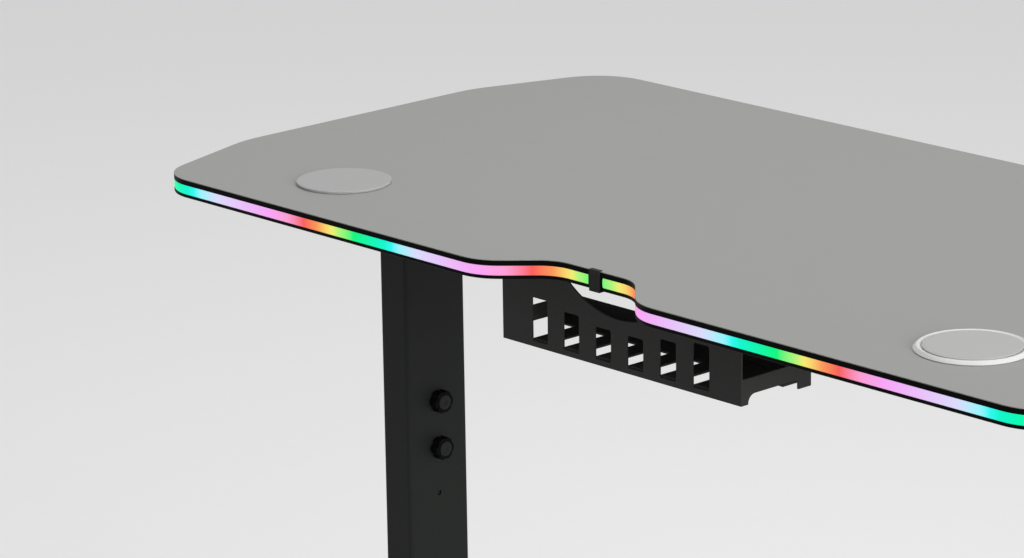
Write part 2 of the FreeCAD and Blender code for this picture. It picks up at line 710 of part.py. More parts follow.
def make_desktop_screws():
    """Screws up through the arms and rails into the board."""
    arm_places, rail_places = desktop_screw_places()
    arms = [screw(vec(x, y, TOP_UNDER - ARM_WALL), ARM_WALL + SCREW_GRIP) for x, y in arm_places]
    rails = [screw(vec(x, y, TOP_UNDER - RAIL_WALL), RAIL_WALL + SCREW_GRIP) for x, y in rail_places]
    return Part.makeCompound(arms + rails)


# Legs


def make_column_inner(side):
    """Lower tube of one leg, which stands on the foot and slides in the upper one."""
    bar = tube(INNER_WIDTH, INNER_DEPTH, COLUMN_WALL, INNER_CORNER_R, INNER_TOP - COLUMN_BOTTOM)
    return moved(bar, side * LEG_X, 0, COLUMN_BOTTOM)


def make_guide_shoe(side):
    """Plastic plug in the upper end of the inner column, whose lip runs in the outer column."""
    lip_gap = 2 * (COLUMN_WALL + SHOE_GAP)
    plug_gap = 2 * (COLUMN_WALL + PLUG_GAP)
    lip = rounded_plate(COLUMN_WIDTH - lip_gap, COLUMN_DEPTH - lip_gap, INNER_CORNER_R, SHOE_LIP)
    plug = rounded_plate(INNER_WIDTH - plug_gap, INNER_DEPTH - plug_gap, INNER_CORNER_R / 2, SHOE_HEIGHT)
    return moved(fuse([lip, moved(plug, 0, 0, -SHOE_HEIGHT)]), side * LEG_X, 0, INNER_TOP)


def knob_heights():
    """Heights of the two clamp knobs."""
    return {"upper": KNOB_TOP_Z, "lower": KNOB_TOP_Z - KNOB_PITCH}


def make_column_outer(side):
    """Upper tube of one leg, with holes for the clamp studs and a spare hole below them."""
    bar = tube(COLUMN_WIDTH, COLUMN_DEPTH, COLUMN_WALL, COLUMN_CORNER_R, OUTER_LENGTH)
    column = moved(bar, side * LEG_X, 0, OUTER_BOTTOM)
    inward = X_AXIS * -side
    face = vec(side * (LEG_INNER_X + COLUMN_WALL), 0, 0)
    cuts = [rod(STUD_R + STUD_CLEARANCE, face + Z_AXIS * z, inward, COLUMN_WALL)
            for z in knob_heights().values()]
    spare_z = KNOB_TOP_Z - 2 * KNOB_PITCH
    cuts.append(rod(SPARE_HOLE_R, face + Z_AXIS * spare_z, inward, COLUMN_WALL))
    return column.cut(Part.makeCompound(cuts))


def make_collar(side):
    """Guide ring under the lower end of the upper tube."""
    opening = rounded_plate(INNER_WIDTH + 2 * COLLAR_GAP, INNER_DEPTH + 2 * COLLAR_GAP,
                            INNER_CORNER_R + COLLAR_GAP, COLLAR_HEIGHT)
    body = rounded_plate(COLUMN_WIDTH, COLUMN_DEPTH, COLUMN_CORNER_R, COLLAR_HEIGHT)
    body = softened(body, COLLAR_SOFT, at_height(0))
    return moved(body.cut(opening), side * LEG_X, 0, OUTER_BOTTOM - COLLAR_HEIGHT)


def make_clamp_nuts(side):
    """Hexagon nuts welded on the inner face of the outer column."""
    corners = []
    for corner in range(WELD_NUT_SIDES):
        angle = 2 * math.pi * corner / WELD_NUT_SIDES
        corners.append(vec(0, WELD_NUT_R * math.cos(angle), WELD_NUT_R * math.sin(angle)))
    hexagon = Part.Face(Part.makePolygon(corners + corners[:1]))
    inward = X_AXIS * -side
    nuts = []
    for z in knob_heights().values():
        seat = vec(side * LEG_INNER_X, 0, z)
        blank = hexagon.extrude(inward * WELD_NUT_HEIGHT)
        blank.translate(seat)
        nuts.append(blank.cut(rod(STUD_R + STUD_CLEARANCE, seat, inward, WELD_NUT_HEIGHT)))
    return Part.makeCompound(nuts)


def make_knob(side, z):
    """Lobed hand knob; its stud goes through the nut and stops just short of the inner column."""
    head = Part.makeCylinder(KNOB_R, KNOB_LENGTH)
    head = softened(head, KNOB_SOFT, at_height(KNOB_LENGTH))
    flutes = []
    for lobe in range(KNOB_LOBES):
        angle = 2 * math.pi * lobe / KNOB_LOBES
        reach = KNOB_R + KNOB_FLUTE_R - KNOB_FLUTE_DEPTH
        start = vec(reach * math.cos(angle), reach * math.sin(angle))
        flutes.append(rod(KNOB_FLUTE_R, start, Z_AXIS, KNOB_LENGTH))
    head = head.cut(Part.makeCompound(flutes))
    stud_length = KNOB_GAP + WELD_NUT_HEIGHT + COLUMN_WALL + COLUMN_GAP - STUD_TIP_GAP
    knob = fuse([head, rod(STUD_R, vec(0, 0), Z_AXIS * -1, stud_length)])
    knob.rotate(vec(0, 0, 0), Y_AXIS, -90 * side)
    knob.translate(vec(side * (LEG_INNER_X - WELD_NUT_HEIGHT - KNOB_GAP), 0, z))
    return knob


# Feet


def leveller_places(side):
    """Front and rear levelling foot of one leg."""
    reach = FOOT_LENGTH / 2 - LEVELLER_INSET
    return {"front": (side * LEG_X, -reach), "rear": (side * LEG_X, reach)}


def base_bolt_places(side):
    """Places (x, y) of the bolts through the base plate."""
    reach = BASE_PLATE_LENGTH / 2 - BASE_BOLT_INSET
    return [(side * LEG_X, -reach), (side * LEG_X, reach)]


def make_foot(side):
    """Hollow foot bar with threaded bosses for the levelling feet and for the base plate."""
    x = side * LEG_X
    bar = laid_along_y(tube(FOOT_WIDTH, FOOT_HEIGHT, FOOT_WALL, FOOT_CORNER_R, FOOT_LENGTH),
                       x, -FOOT_LENGTH / 2, FOOT_BOTTOM + FOOT_HEIGHT / 2)
    bosses = []
    cuts = []
    for px, py in leveller_places(side).values():
        bosses.append(rod(BOSS_R, vec(px, py, FOOT_BOTTOM + FOOT_WALL), Z_AXIS, BOSS_HEIGHT))
        cuts.append(rod(STUD_R + STUD_CLEARANCE, vec(px, py, FOOT_BOTTOM), Z_AXIS, FOOT_WALL + BOSS_HEIGHT))
    under = FOOT_TOP - FOOT_WALL
    for px, py in base_bolt_places(side):
        bosses.append(rod(NUT_BOSS_R, vec(px, py, under - NUT_BOSS_HEIGHT), Z_AXIS, NUT_BOSS_HEIGHT))
        cuts.append(rod(BOLT_R + BOLT_CLEARANCE, vec(px, py, under - NUT_BOSS_HEIGHT), Z_AXIS,
                        FOOT_WALL + NUT_BOSS_HEIGHT))
    return fuse([bar] + bosses).cut(Part.makeCompound(cuts))


def make_foot_caps(side):
    """Plastic caps in both ends of one foot bar."""
    gap = 2 * (FOOT_WALL + PLUG_GAP)
    head = rounded_plate(FOOT_WIDTH, FOOT_HEIGHT, FOOT_CORNER_R, FOOT_CAP_THICK)
    plug = rounded_plate(FOOT_WIDTH - gap, FOOT_HEIGHT - gap, FOOT_WALL, FOOT_CAP_PLUG)
    plug = moved(plug, 0, 0, FOOT_CAP_THICK)
    cap = softened(fuse([head, plug]), FOOT_CAP_SOFT, at_height(0))
    front = laid_along_y(cap, side * LEG_X, -FOOT_LENGTH / 2 - FOOT_CAP_THICK, FOOT_BOTTOM + FOOT_HEIGHT / 2)
    return Part.makeCompound([front, front.mirror(vec(0, 0, 0), Y_AXIS)])


def make_base_plate(side):
    """Plate welded under the inner column and bolted down on the foot."""
    width = FOOT_WIDTH - 2 * FOOT_CORNER_R
    plate = rounded_plate(width, BASE_PLATE_LENGTH, FOOT_CORNER_R, BASE_PLATE_THICK)
    plate = moved(plate, side * LEG_X, 0, FOOT_TOP)
    holes = [rod(BOLT_R + BOLT_HOLE_CLEARANCE, vec(px, py, FOOT_TOP), Z_AXIS, BASE_PLATE_THICK)
             for px, py in base_bolt_places(side)]
    return plate.cut(Part.makeCompound(holes))


def make_foot_bolts(side):
    """Bolts that hold the base plate down on the foot."""
    length = BASE_PLATE_THICK + FOOT_WALL + NUT_BOSS_HEIGHT
    return Part.makeCompound([bolt(vec(px, py, COLUMN_BOTTOM), Z_AXIS * -1, length)
                              for px, py in base_bolt_places(side)])


def make_leveller(x, y):
    """Levelling foot: a round pad, a collar to turn it by and a stem in the foot's boss."""
    pad = Part.makeCylinder(LEVELLER_PAD_R, LEVELLER_PAD_HEIGHT)
    pad = softened(pad, LEVELLER_SOFT, at_height(LEVELLER_PAD_HEIGHT))
    collar = rod(LEVELLER_COLLAR_R, vec(0, 0, LEVELLER_PAD_HEIGHT), Z_AXIS, LEVELLER_COLLAR_HEIGHT)
    stem = rod(STUD_R, vec(0, 0, LEVELLER_PAD_HEIGHT), Z_AXIS, LEVELLER_STEM - LEVELLER_PAD_HEIGHT)
    return moved(fuse([pad, collar, stem]), x, y, 0)


# Cable tray


def slot_places():
    """(x, top height above the tray's lower edge) of each slot."""
    middle = (SLOT_COUNT - 1) / 2
    places = []
    for index in range(SLOT_COUNT):
        offset = index - middle
        step = abs(offset) - (0.5 if SLOT_COUNT % 2 == 0 else 0)
        places.append((offset * SLOT_PITCH, SLOT_MIDDLE_TOP + step * SLOT_TOP_STEP))
    return places


def make_tray_rear_wall():
    """Upright sheet with a round notch in its upper edge, a row of slots and flanges under the board."""
    half = TRAY_LENGTH / 2
    inner = TRAY_REAR_Y - TRAY_SHEET
    wall = block(-half, half, inner, TRAY_REAR_Y, TRAY_BOTTOM, TOP_UNDER)
    notch_r = (NOTCH_HALF_WIDTH ** 2 + NOTCH_DEPTH ** 2) / (2 * NOTCH_DEPTH)
    cuts = [rod(notch_r, vec(0, inner, TOP_UNDER - NOTCH_DEPTH + notch_r), Y_AXIS, TRAY_SHEET)]
    for x, top in slot_places():
        height = top - TRAY_FLOOR_LIFT
        opening = rounded_plate(SLOT_WIDTH, height, SLOT_CORNER_R, TRAY_SHEET)
        cuts.append(laid_along_y(opening, x, inner, TRAY_FLOOR_Z + height / 2))
    flanges = []
    holes = []
    for side in SIDES.values():
        flanges.append(block(side * (half - TRAY_FLANGE_LENGTH), side * half, TRAY_REAR_Y,
                             TRAY_REAR_Y + TRAY_FLANGE_WIDTH, TOP_UNDER - TRAY_SHEET, TOP_UNDER))
    for x, y in tray_screw_places():
        holes.append(rod(SCREW_R + BOLT_CLEARANCE, vec(x, y, TOP_UNDER - TRAY_SHEET), Z_AXIS, TRAY_SHEET))
    return fuse([wall.cut(Part.makeCompound(cuts))] + flanges).cut(Part.makeCompound(holes))


def make_tray_floor():
    """Comb: a strip along the front wall, and a finger behind each slot with its tip bent down."""
    half = TRAY_LENGTH / 2 - TRAY_SHEET
    rear = TRAY_REAR_Y - TRAY_SHEET
    front = TRAY_FRONT_Y + TRAY_SHEET
    top = TRAY_FLOOR_Z + TRAY_SHEET
    pieces = [block(-half, half, front, front + TRAY_STRIP, TRAY_FLOOR_Z, top)]
    for x, _ in slot_places():
        left = x - SLOT_WIDTH / 2
        right = x + SLOT_WIDTH / 2
        pieces.append(block(left, right, front, rear, TRAY_FLOOR_Z, top))
        pieces.append(block(left, right, rear - TRAY_SHEET, rear, TRAY_BOTTOM, top))
    return fuse(pieces)


def make_tray_front_wall():
    """Low wall on the user's side, rounded at its upper corners."""
    half = TRAY_LENGTH / 2
    sheet = rounded_plate(TRAY_LENGTH, TRAY_FRONT_HEIGHT, TRAY_CORNER_R, TRAY_SHEET)
    wall = laid_along_y(sheet, 0, TRAY_FRONT_Y, TRAY_BOTTOM + TRAY_FRONT_HEIGHT / 2)
    foot = block(-half, half, TRAY_FRONT_Y, TRAY_FRONT_Y + TRAY_SHEET, TRAY_BOTTOM,
                 TRAY_BOTTOM + TRAY_FRONT_HEIGHT / 2)
    return fuse([wall, foot])


def make_tray_end(side):
    """Low end plate with a foot at each end and an arch between them, wider curved at the rear."""
    rear = TRAY_REAR_Y - TRAY_SHEET
    front = TRAY_FRONT_Y + TRAY_SHEET
    outer = side * TRAY_LENGTH / 2
    plate = block(outer, outer - side * TRAY_SHEET, front, rear, TRAY_BOTTOM, TRAY_BOTTOM + TRAY_END_HEIGHT)
    arch_front = front + TRAY_FRONT_FOOT
    arch_rear = rear - TRAY_REAR_FOOT
    corners = [(TRAY_ARCH_HEIGHT, arch_rear, 0), (TRAY_ARCH_HEIGHT, arch_front, 0),
               (-TRAY_ARCH_HEIGHT, arch_front, TRAY_ARCH_FRONT_R),
               (-TRAY_ARCH_HEIGHT, arch_rear, TRAY_ARCH_REAR_R)]
    arch = Part.Face(rounded_wire(corners)).extrude(vec(0, 0, TRAY_SHEET))
    low_x = min(outer, outer - side * TRAY_SHEET)
    return plate.cut(laid_along_x(arch, low_x, 0, TRAY_BOTTOM))


def make_tray_screws():
    """Screws up through the tray's flanges into the board."""
    length = TRAY_SHEET + SCREW_GRIP
    seat = TOP_UNDER - TRAY_SHEET
    return Part.makeCompound([screw(vec(x, y, seat), length) for x, y in tray_screw_places()])


def collect():
    """Every piece by its node name."""
    front_rail_y, rear_rail_y = rail_centres()
    nodes = {
        "desktop_board": make_board(),
        "edge_trim": make_trim(),
        "light_clip": make_clip(),
        "light_controller": make_controller(),
        "controller_button": make_button(),
        "grommet_sleeve": make_sleeve(),
        "grommet_cap": make_cap(),
        "charger_housing": make_charger_housing(),
        "charger_pad": make_charger_pad(),
        "charger_coil": make_charger_coil(),
        "charger_circuit": make_charger_circuit(),
        "charger_cover": make_charger_cover(),
        "charger_nut": make_charger_nut(),
        "front_rail": make_rail(front_rail_y),
        "rear_rail": make_rail(rear_rail_y),
        "arm_caps": make_arm_caps(),
        "rail_bolts": make_rail_bolts(),
        "plate_bolts": make_plate_bolts(),
        "desktop_screws": make_desktop_screws(),
        "tray_rear_wall": make_tray_rear_wall(),
        "tray_floor": make_tray_floor(),
        "tray_front_wall": make_tray_front_wall(),
        "tray_screws": make_tray_screws(),
    }
    for name, side in SIDES.items():
        nodes["light_diffuser_" + name] = make_diffuser(side)
        nodes["light_tape_" + name] = make_tape(side)
        nodes["side_arm_" + name] = make_arm(side)
        nodes["top_plate_" + name] = make_top_plate(side)
        nodes["column_inner_" + name] = make_column_inner(side)
        nodes["guide_shoe_" + name] = make_guide_shoe(side)
        nodes["tray_end_" + name] = make_tray_end(side)
        nodes["column_outer_" + name] = make_column_outer(side)
        nodes["column_collar_" + name] = make_collar(side)
        nodes["clamp_nuts_" + name] = make_clamp_nuts(side)
        nodes["base_plate_" + name] = make_base_plate(side)
        nodes["foot_bar_" + name] = make_foot(side)
        nodes["foot_caps_" + name] = make_foot_caps(side)
        nodes["foot_bolts_" + name] = make_foot_bolts(side)
        for place, z in knob_heights().items():
            nodes["clamp_knob_" + name + "_" + place] = make_knob(side, z)
        for place, (x, y) in leveller_places(side).items():
            nodes["levelling_foot_" + name + "_" + place] = make_leveller(x, y)
    return nodes


os.makedirs("parts", exist_ok=True)
for node, shape in collect().items():
    shape.exportStep(os.path.join("parts", node + ".step"))
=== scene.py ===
import json
import math

import bmesh
import bpy
from mathutils import Matrix, Vector


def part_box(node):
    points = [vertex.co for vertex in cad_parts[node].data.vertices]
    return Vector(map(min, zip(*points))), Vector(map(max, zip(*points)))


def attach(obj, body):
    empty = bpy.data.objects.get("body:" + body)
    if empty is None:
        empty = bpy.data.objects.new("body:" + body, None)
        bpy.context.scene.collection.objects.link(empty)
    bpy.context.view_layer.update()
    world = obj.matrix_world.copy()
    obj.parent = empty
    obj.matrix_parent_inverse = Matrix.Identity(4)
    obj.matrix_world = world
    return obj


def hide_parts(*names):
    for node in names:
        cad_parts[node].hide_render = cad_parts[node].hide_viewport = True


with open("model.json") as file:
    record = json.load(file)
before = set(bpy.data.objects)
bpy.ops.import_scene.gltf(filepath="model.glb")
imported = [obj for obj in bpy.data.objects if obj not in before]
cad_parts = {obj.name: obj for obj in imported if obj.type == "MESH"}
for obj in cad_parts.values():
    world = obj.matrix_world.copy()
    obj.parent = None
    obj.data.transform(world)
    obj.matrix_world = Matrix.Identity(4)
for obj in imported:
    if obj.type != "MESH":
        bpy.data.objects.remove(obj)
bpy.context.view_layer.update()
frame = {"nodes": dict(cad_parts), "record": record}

# Looks of a contoured gaming desk with a lit edge. Metres, in the frame of the CAD model.

NODES = frame["nodes"]
SLOT_OF = {part["node"]: part["material_slot"] for part in frame["record"]["subparts"]}
MM = 0.001
SMOOTH_ANGLE = math.radians(35)

# Outline of the desktop: corners from the recess round to the user's side, with their radii
TRIM_LOW, TRIM_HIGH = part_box("edge_trim")
HALF_LENGTH = TRIM_HIGH.x
REAR_Y = TRIM_HIGH.y
FRONT_Y = TRIM_LOW.y
RECESS_DEPTH = 50 * MM
RECESS_HALF_FLOOR = 51 * MM
RECESS_INNER_R = 40 * MM
RECESS_OUTER_R = 50 * MM
REAR_CHAMFER_X = 45 * MM
REAR_CHAMFER_Y = 141 * MM
REAR_CORNER_R = 50 * MM
SIDE_CORNER_R = 125 * MM
FRONT_CHAMFER_X = 50 * MM
FRONT_CHAMFER_Y = 152 * MM
FRONT_CORNER_R = 65 * MM
ARC_STEP = math.radians(2.5)

# Edge band and light strip
TRIM_THICK = 2 * MM
TRIM_ROUND = 1.0 * MM
TRIM_STEPS = 4
WINDOW_GAP = 0.2 * MM
STRIP_CROWN = 0.8 * MM
STRIP_DEPTH = 5 * MM
STRIP_STEPS = 10
RAINBOW_LENGTH = 288 * MM
LIGHT_STRENGTH = 0.98
# Share of the glow colours painted into the strip's own colour: painted LED light on a milky strip
GLOW_TINT_SHARE = 0.10

# Rim and disc of the charger
CHARGER_POINTS = 144
PROFILE_STEP = math.radians(15)
CUP_R = 39.8 * MM
CUP_WALL = 2.4 * MM
RIM_GAP = 0.5 * MM
RIM_FOOT = 0.9 * MM
RIM_SLOPE = 3.2 * MM
RIM_ROUND = 1.4 * MM
RIM_DISH = 1.3 * MM
DISC_GAP = 0.8 * MM
DISC_ROUND = 0.5 * MM
DISC_CROWN = 0.2 * MM
DISC_RINGS = 8

# Inserts in the faces of the clamp knobs
INSERT_R = 7.6 * MM
INSERT_HEIGHT = 0.8 * MM
INSERT_ROUND = 0.3 * MM
INSERT_DIMPLE_R = 2.4 * MM
INSERT_DIMPLE_DEPTH = 0.6 * MM
INSERT_SINK = 0.3 * MM

# Fasteners, welds and threads
RING_POINTS = 48
BOLT_HEAD_R = 5 * MM
BOLT_HEAD_HEIGHT = 3.5 * MM
BOLT_SHANK_R = 3 * MM
BOLT_SOCKET_R = 2.2 * MM
BOLT_SOCKET_DEPTH = 1.9 * MM
BOLT_ROUND = 0.7 * MM
SCREW_HEAD_R = 4 * MM
SCREW_HEAD_HEIGHT = 2.5 * MM
SCREW_SHANK_R = 2 * MM
SCREW_CROSS_R = 2.0 * MM
SCREW_CROSS_HALF_WIDTH = 0.5 * MM
SCREW_CROSS_DEPTH = 1.3 * MM
TRAY_SCREW_SPREAD = 35 * MM
WELD_R = 2.0 * MM
WELD_RIPPLE = 0.12
WELD_POINTS = 8
WELD_CENTRE_SHARE = 0.35
WELD_RIPPLE_PITCH = 3.2 * MM
INNER_CORNER_R = 3 * MM
OUTER_CORNER_R = 4 * MM
PAD_TOP = 8 * MM
THREAD_PITCH = 1.25 * MM
THREAD_DEPTH = 0.3 * MM
THREAD_STEPS = 32
THREAD_HALF_SHARE = 0.42
THREAD_STEM_R = 4 * MM
THREAD_FROM_Z = 14.3 * MM
THREAD_TO_Z = 21.6 * MM

# Camera, as found from the photograph
CAMERA_PLACE = Vector((-2.6844, 2.8247, 1.7917))
CAMERA_HEADING = math.radians(227.336)
CAMERA_PITCH = math.radians(15.745)
CAMERA_ROLL = math.radians(0.911)
SENSOR_WIDTH = 36.0
LENS = 152.73
CAMERA_REACH = 50.0

# Light levels: what lights the desk, and what shows behind it
WORLD_LIGHT = 0.30
WORLD_SEEN = 0.61
FLOOR_SEEN = 0.43
KEY_PLACE = Vector((-3.9, 0.5, 1.4))
KEY_TARGET = Vector((0.2, 0.05, 0.5))
KEY_SIZE = 2.0
KEY_POWER = 28.0
KEY_SPREAD = math.radians(80)
TOP_PLACE = Vector((0.3, -0.3, 3.6))
TOP_TARGET = Vector((0.0, 0.0, 0.7))
TOP_SIZE = 2.6
TOP_POWER = 57.0
TOP_SPREAD = math.radians(180)
FLOOR_HALF = 14.0

# Softened edges, and edges painted paler as highlight and wear: the paleness starts where the softened
# direction has turned by a little
EDGE_SOFT = 0.8 * MM
EDGE_SAMPLES = 6
HIGHLIGHT_AND_WEAR_FULL = 0.80
HIGHLIGHT_AND_WEAR_NONE = 0.98
RELIEF = 0.1 * MM


# Camera, floor and light


def make_camera():
    """Camera behind the desk, looking down over its rear edge."""
    data = bpy.data.cameras.new("camera")
    data.sensor_width = SENSOR_WIDTH
    data.lens = LENS
    data.clip_end = CAMERA_REACH
    camera = bpy.data.objects.new("camera", data)
    turn = Matrix.Rotation(CAMERA_HEADING, 4, "Z")
    tilt = Matrix.Rotation(math.radians(90) - CAMERA_PITCH, 4, "X")
    roll = Matrix.Rotation(-CAMERA_ROLL, 4, "Z")
    camera.matrix_world = Matrix.Translation(CAMERA_PLACE) @ turn @ tilt @ roll
    bpy.context.scene.collection.objects.link(camera)
    bpy.context.scene.camera = camera


def make_area_light(name, place, target, size, power, spread):
    """Square soft light that faces a target."""
    data = bpy.data.lights.new(name, "AREA")
    data.size = size
    data.energy = power
    data.spread = spread
    light = bpy.data.objects.new(name, data)
    light.location = place
    light.rotation_euler = (target - place).to_track_quat("-Z", "Y").to_euler()
    bpy.context.scene.collection.objects.link(light)


def seen_ray(tree):
    """1 for the rays that show the surroundings, straight, mirrored or through glass, and 0 for lighting."""
    path = tree.nodes.new("ShaderNodeLightPath")
    seen = path.outputs["Is Camera Ray"]
    for name in ("Is Glossy Ray", "Is Transmission Ray"):
        either = tree.nodes.new("ShaderNodeMath")
        either.operation = "MAXIMUM"
        tree.links.new(seen, either.inputs[0])
        tree.links.new(path.outputs[name], either.inputs[1])
        seen = either.outputs["Value"]
    return seen


def make_studio():
    """Even surroundings, paler where they are seen, a low key light from the left and a soft top light."""
    world = bpy.data.worlds.new("studio")
    bpy.context.scene.world = world
    world.use_nodes = True
    tree = world.node_tree
    lit = tree.nodes["Background"]
    seen = tree.nodes.new("ShaderNodeBackground")
    for background, strength in ((lit, WORLD_LIGHT), (seen, WORLD_SEEN)):
        background.inputs["Color"].default_value = (1.0, 1.0, 1.0, 1.0)
        background.inputs["Strength"].default_value = strength
    mix = tree.nodes.new("ShaderNodeMixShader")
    tree.links.new(seen_ray(tree), mix.inputs["Fac"])
    tree.links.new(lit.outputs["Background"], mix.inputs[1])
    tree.links.new(seen.outputs["Background"], mix.inputs[2])
    tree.links.new(mix.outputs["Shader"], tree.nodes["World Output"].inputs["Surface"])
    make_area_light("key", KEY_PLACE, KEY_TARGET, KEY_SIZE, KEY_POWER, KEY_SPREAD)
    make_area_light("top", TOP_PLACE, TOP_TARGET, TOP_SIZE, TOP_POWER, TOP_SPREAD)
    bpy.context.scene.view_settings.view_transform = "Standard"


def make_floor(material):
    """Plain pale floor that stands under the desk and fills the view."""
    bm = bmesh.new()
    bmesh.ops.create_grid(bm, x_segments=4, y_segments=4, size=FLOOR_HALF)
    mesh = bpy.data.meshes.new("floor")
    bm.to_mesh(mesh)
    bm.free()
    mesh.materials.append(material)
    floor = bpy.data.objects.new("floor", mesh)
    bpy.context.scene.collection.objects.link(floor)


# Materials


class Finish:
    """A material with one Principled shader and short calls to add nodes to it."""

    def __init__(self, name, **values):
        self.material = bpy.data.materials.new(name)
        self.material.use_nodes = True
        self.tree = self.material.node_tree
        self.shader = self.tree.nodes["Principled BSDF"]
        for socket, value in values.items():
            self.shader.inputs[socket.replace("_", " ")].default_value = value
        self.place = self.node("ShaderNodeTexCoord").outputs["Object"]

    def node(self, kind, *ordered, settings=None, **named):
        """New node; its sockets, in order or by name, are given plain values or other nodes' outputs."""
        made = self.tree.nodes.new(kind)
        for key, value in (settings or {}).items():
            setattr(made, key, value)
        given = list(enumerate(ordered)) + [(key.replace("_", " "), value) for key, value in named.items()]
        for key, value in given:
            if isinstance(value, bpy.types.NodeSocket):
                self.tree.links.new(value, made.inputs[key])
            else:
                made.inputs[key].default_value = value
        return made

    def math(self, operation, *values):
        """Result of one sum on numbers."""
        return self.node("ShaderNodeMath", *values, settings={"operation": operation}).outputs["Value"]

    def noise(self, scale, detail=2.0, roughness=0.5):
        """Grain of so many lumps in a metre, from 0 to 1."""
        return self.node("ShaderNodeTexNoise", Vector=self.place, Scale=scale, Detail=detail,
                         Roughness=roughness).outputs["Fac"]

    def cells(self, scale):
        """Distance to the nearest of many scattered points, for moulded and sprayed grain."""
        return self.node("ShaderNodeTexVoronoi", Vector=self.place, Scale=scale).outputs["Distance"]

    def ramp(self, value, stops):
        """Colours by value: stops are (position, colour)."""
        made = self.node("ShaderNodeValToRGB", Fac=value)
        elements = made.color_ramp.elements
        while len(elements) < len(stops):
            elements.new(1.0)
        for element, (position, colour) in zip(elements, stops):
            element.position = position
            element.color = (*colour, 1.0)
        return made.outputs["Color"]

    def between(self, value, low, high, source=(0.3, 0.7)):
        """A number between low and high, by a value that runs over the source range."""
        made = self.node("ShaderNodeMapRange", Value=value, From_Min=source[0], From_Max=source[1],
                         To_Min=low, To_Max=high)
        return made.outputs["Result"]

    def drive(self, socket, output):
        """Link an output to a socket of the shader."""
        self.tree.links.new(output, self.shader.inputs[socket])

    def bump(self, height, strength, distance):
        """Fine relief by a height, over edges that catch the light as slightly rounded ones do."""
        made = self.node("ShaderNodeBump", Height=height, Strength=strength, Distance=distance,
                         Normal=self.soft_normal())
        self.drive("Normal", made.outputs["Normal"])

    def soft_normal(self):
        """Direction of the surface, rounded off near its edges."""
        made = self.node("ShaderNodeBevel", settings={"samples": EDGE_SAMPLES}, Radius=EDGE_SOFT)
        return made.outputs["Normal"]

    def edges(self):
        """1 along the edges of the surface and 0 away from them."""
        sharp = self.node("ShaderNodeNewGeometry").outputs["Normal"]
        turn = self.node("ShaderNodeVectorMath", self.soft_normal(), sharp,
                         settings={"operation": "DOT_PRODUCT"})
        return self.between(turn.outputs["Value"], 1.0, 0.0, (HIGHLIGHT_AND_WEAR_FULL, HIGHLIGHT_AND_WEAR_NONE))


def shade(colour, factor):
    """A colour made darker or lighter."""
    return tuple(min(1.0, part * factor) for part in colour)


def grained(name, colour, spread, grain, bump, roughness, specular=0.5, highlight_and_wear=0.0):
    """Coloured surface with fine grain: spread is the colour's change, grain the lumps in a metre.

    Highlight and wear is how many times paler the colour gets along its edges: a painted highlight where
    light catches the edges, together with rubbed wear.
    """
    finish = Finish(name, Specular_IOR_Level=specular)
    fine = finish.noise(grain, detail=3.0)
    broad = finish.noise(grain / 60, detail=2.0)
    share = finish.between(finish.math("ADD", fine, broad), 0.0, 1.0, (0.7, 1.3))
    plain = finish.ramp(share, [(0.0, shade(colour, 1 - spread)), (1.0, shade(colour, 1 + spread))])
    # Paler along the edges: painted highlight where light catches them, together with rubbed wear.
    if highlight_and_wear:
        highlight_and_wear_mask = finish.math("MULTIPLY", finish.edges(), finish.between(broad, 0.2, 1.0))
        highlighted_and_worn = finish.node("ShaderNodeMixRGB", Fac=highlight_and_wear_mask, Color1=plain, Color2=(*shade(colour, highlight_and_wear), 1.0))
        plain = highlighted_and_worn.outputs["Color"]
    finish.drive("Base Color", plain)
    finish.drive("Roughness", finish.between(broad, *roughness))
    finish.bump(finish.cells(grain), bump, RELIEF)
    return finish


def laminate():
    """Matte grey laminate: faint speckle, slight cloudiness and a fine pressed texture."""
    return grained("laminate", (0.338, 0.341, 0.327), 0.025, 1600.0, 0.10, (0.50, 0.62), specular=0.2)


def edge_plastic():
    """Black satin edge band."""
    return grained("edge_plastic", (0.0030, 0.0030, 0.0030), 0.15, 2200.0, 0.06, (0.34, 0.46),
                   specular=0.03)


def powder_coat():
    """Black powder coat with the orange peel of sprayed paint, its edges painted paler as highlight and
    wear.
    """
    return grained("powder_coat", (0.0235, 0.0258, 0.0240), 0.12, 900.0, 0.18, (0.46, 0.58),
                   specular=0.1, highlight_and_wear=2.2)


def tray_coat():
    """Charcoal powder coat, a little coarser and paler, its edges painted paler as highlight and wear."""
    return grained("tray_coat", (0.0510, 0.0530, 0.0500), 0.14, 700.0, 0.22, (0.52, 0.64),
                   specular=0.1, highlight_and_wear=1.8)


def moulded_plastic():
    """Black moulded plastic with a spark-eroded grain."""
    return grained("moulded_plastic", (0.0062, 0.0065, 0.0063), 0.15, 3000.0, 0.20, (0.55, 0.68),
                   specular=0.03)


def clip_plastic():
    """Dark grey plastic of the light clip, its edges painted paler as highlight and wear."""
    return grained("clip_plastic", (0.0230, 0.0240, 0.0232), 0.12, 3000.0, 0.16, (0.48, 0.60),
                   specular=0.12, highlight_and_wear=1.8)


def button_rubber():
    """Soft black rubber of the button."""
    return grained("button_rubber", (0.020, 0.020, 0.021), 0.10, 2500.0, 0.10, (0.62, 0.75), specular=0.3)


def cap_plastic():
    """Light grey moulded lid."""
    return grained("cap_plastic", (0.395, 0.395, 0.393), 0.015, 2600.0, 0.08, (0.42, 0.54), specular=0.4)


def ring_plastic():
    """Glossy white moulded ring."""
    return grained("ring_plastic", (0.70, 0.70, 0.69), 0.01, 2600.0, 0.02, (0.28, 0.38), specular=0.3)


def pad_plastic():
    """Light grey soft-touch disc."""
    return grained("pad_plastic", (0.460, 0.460, 0.456), 0.02, 3200.0, 0.10, (0.50, 0.64), specular=0.35)


def zinc():
    """Black zinc plating of bolts and screws."""
    finish = grained("zinc", (0.055, 0.055, 0.058), 0.20, 1800.0, 0.06, (0.30, 0.46))
    finish.shader.inputs["Metallic"].default_value = 0.9
    return finish


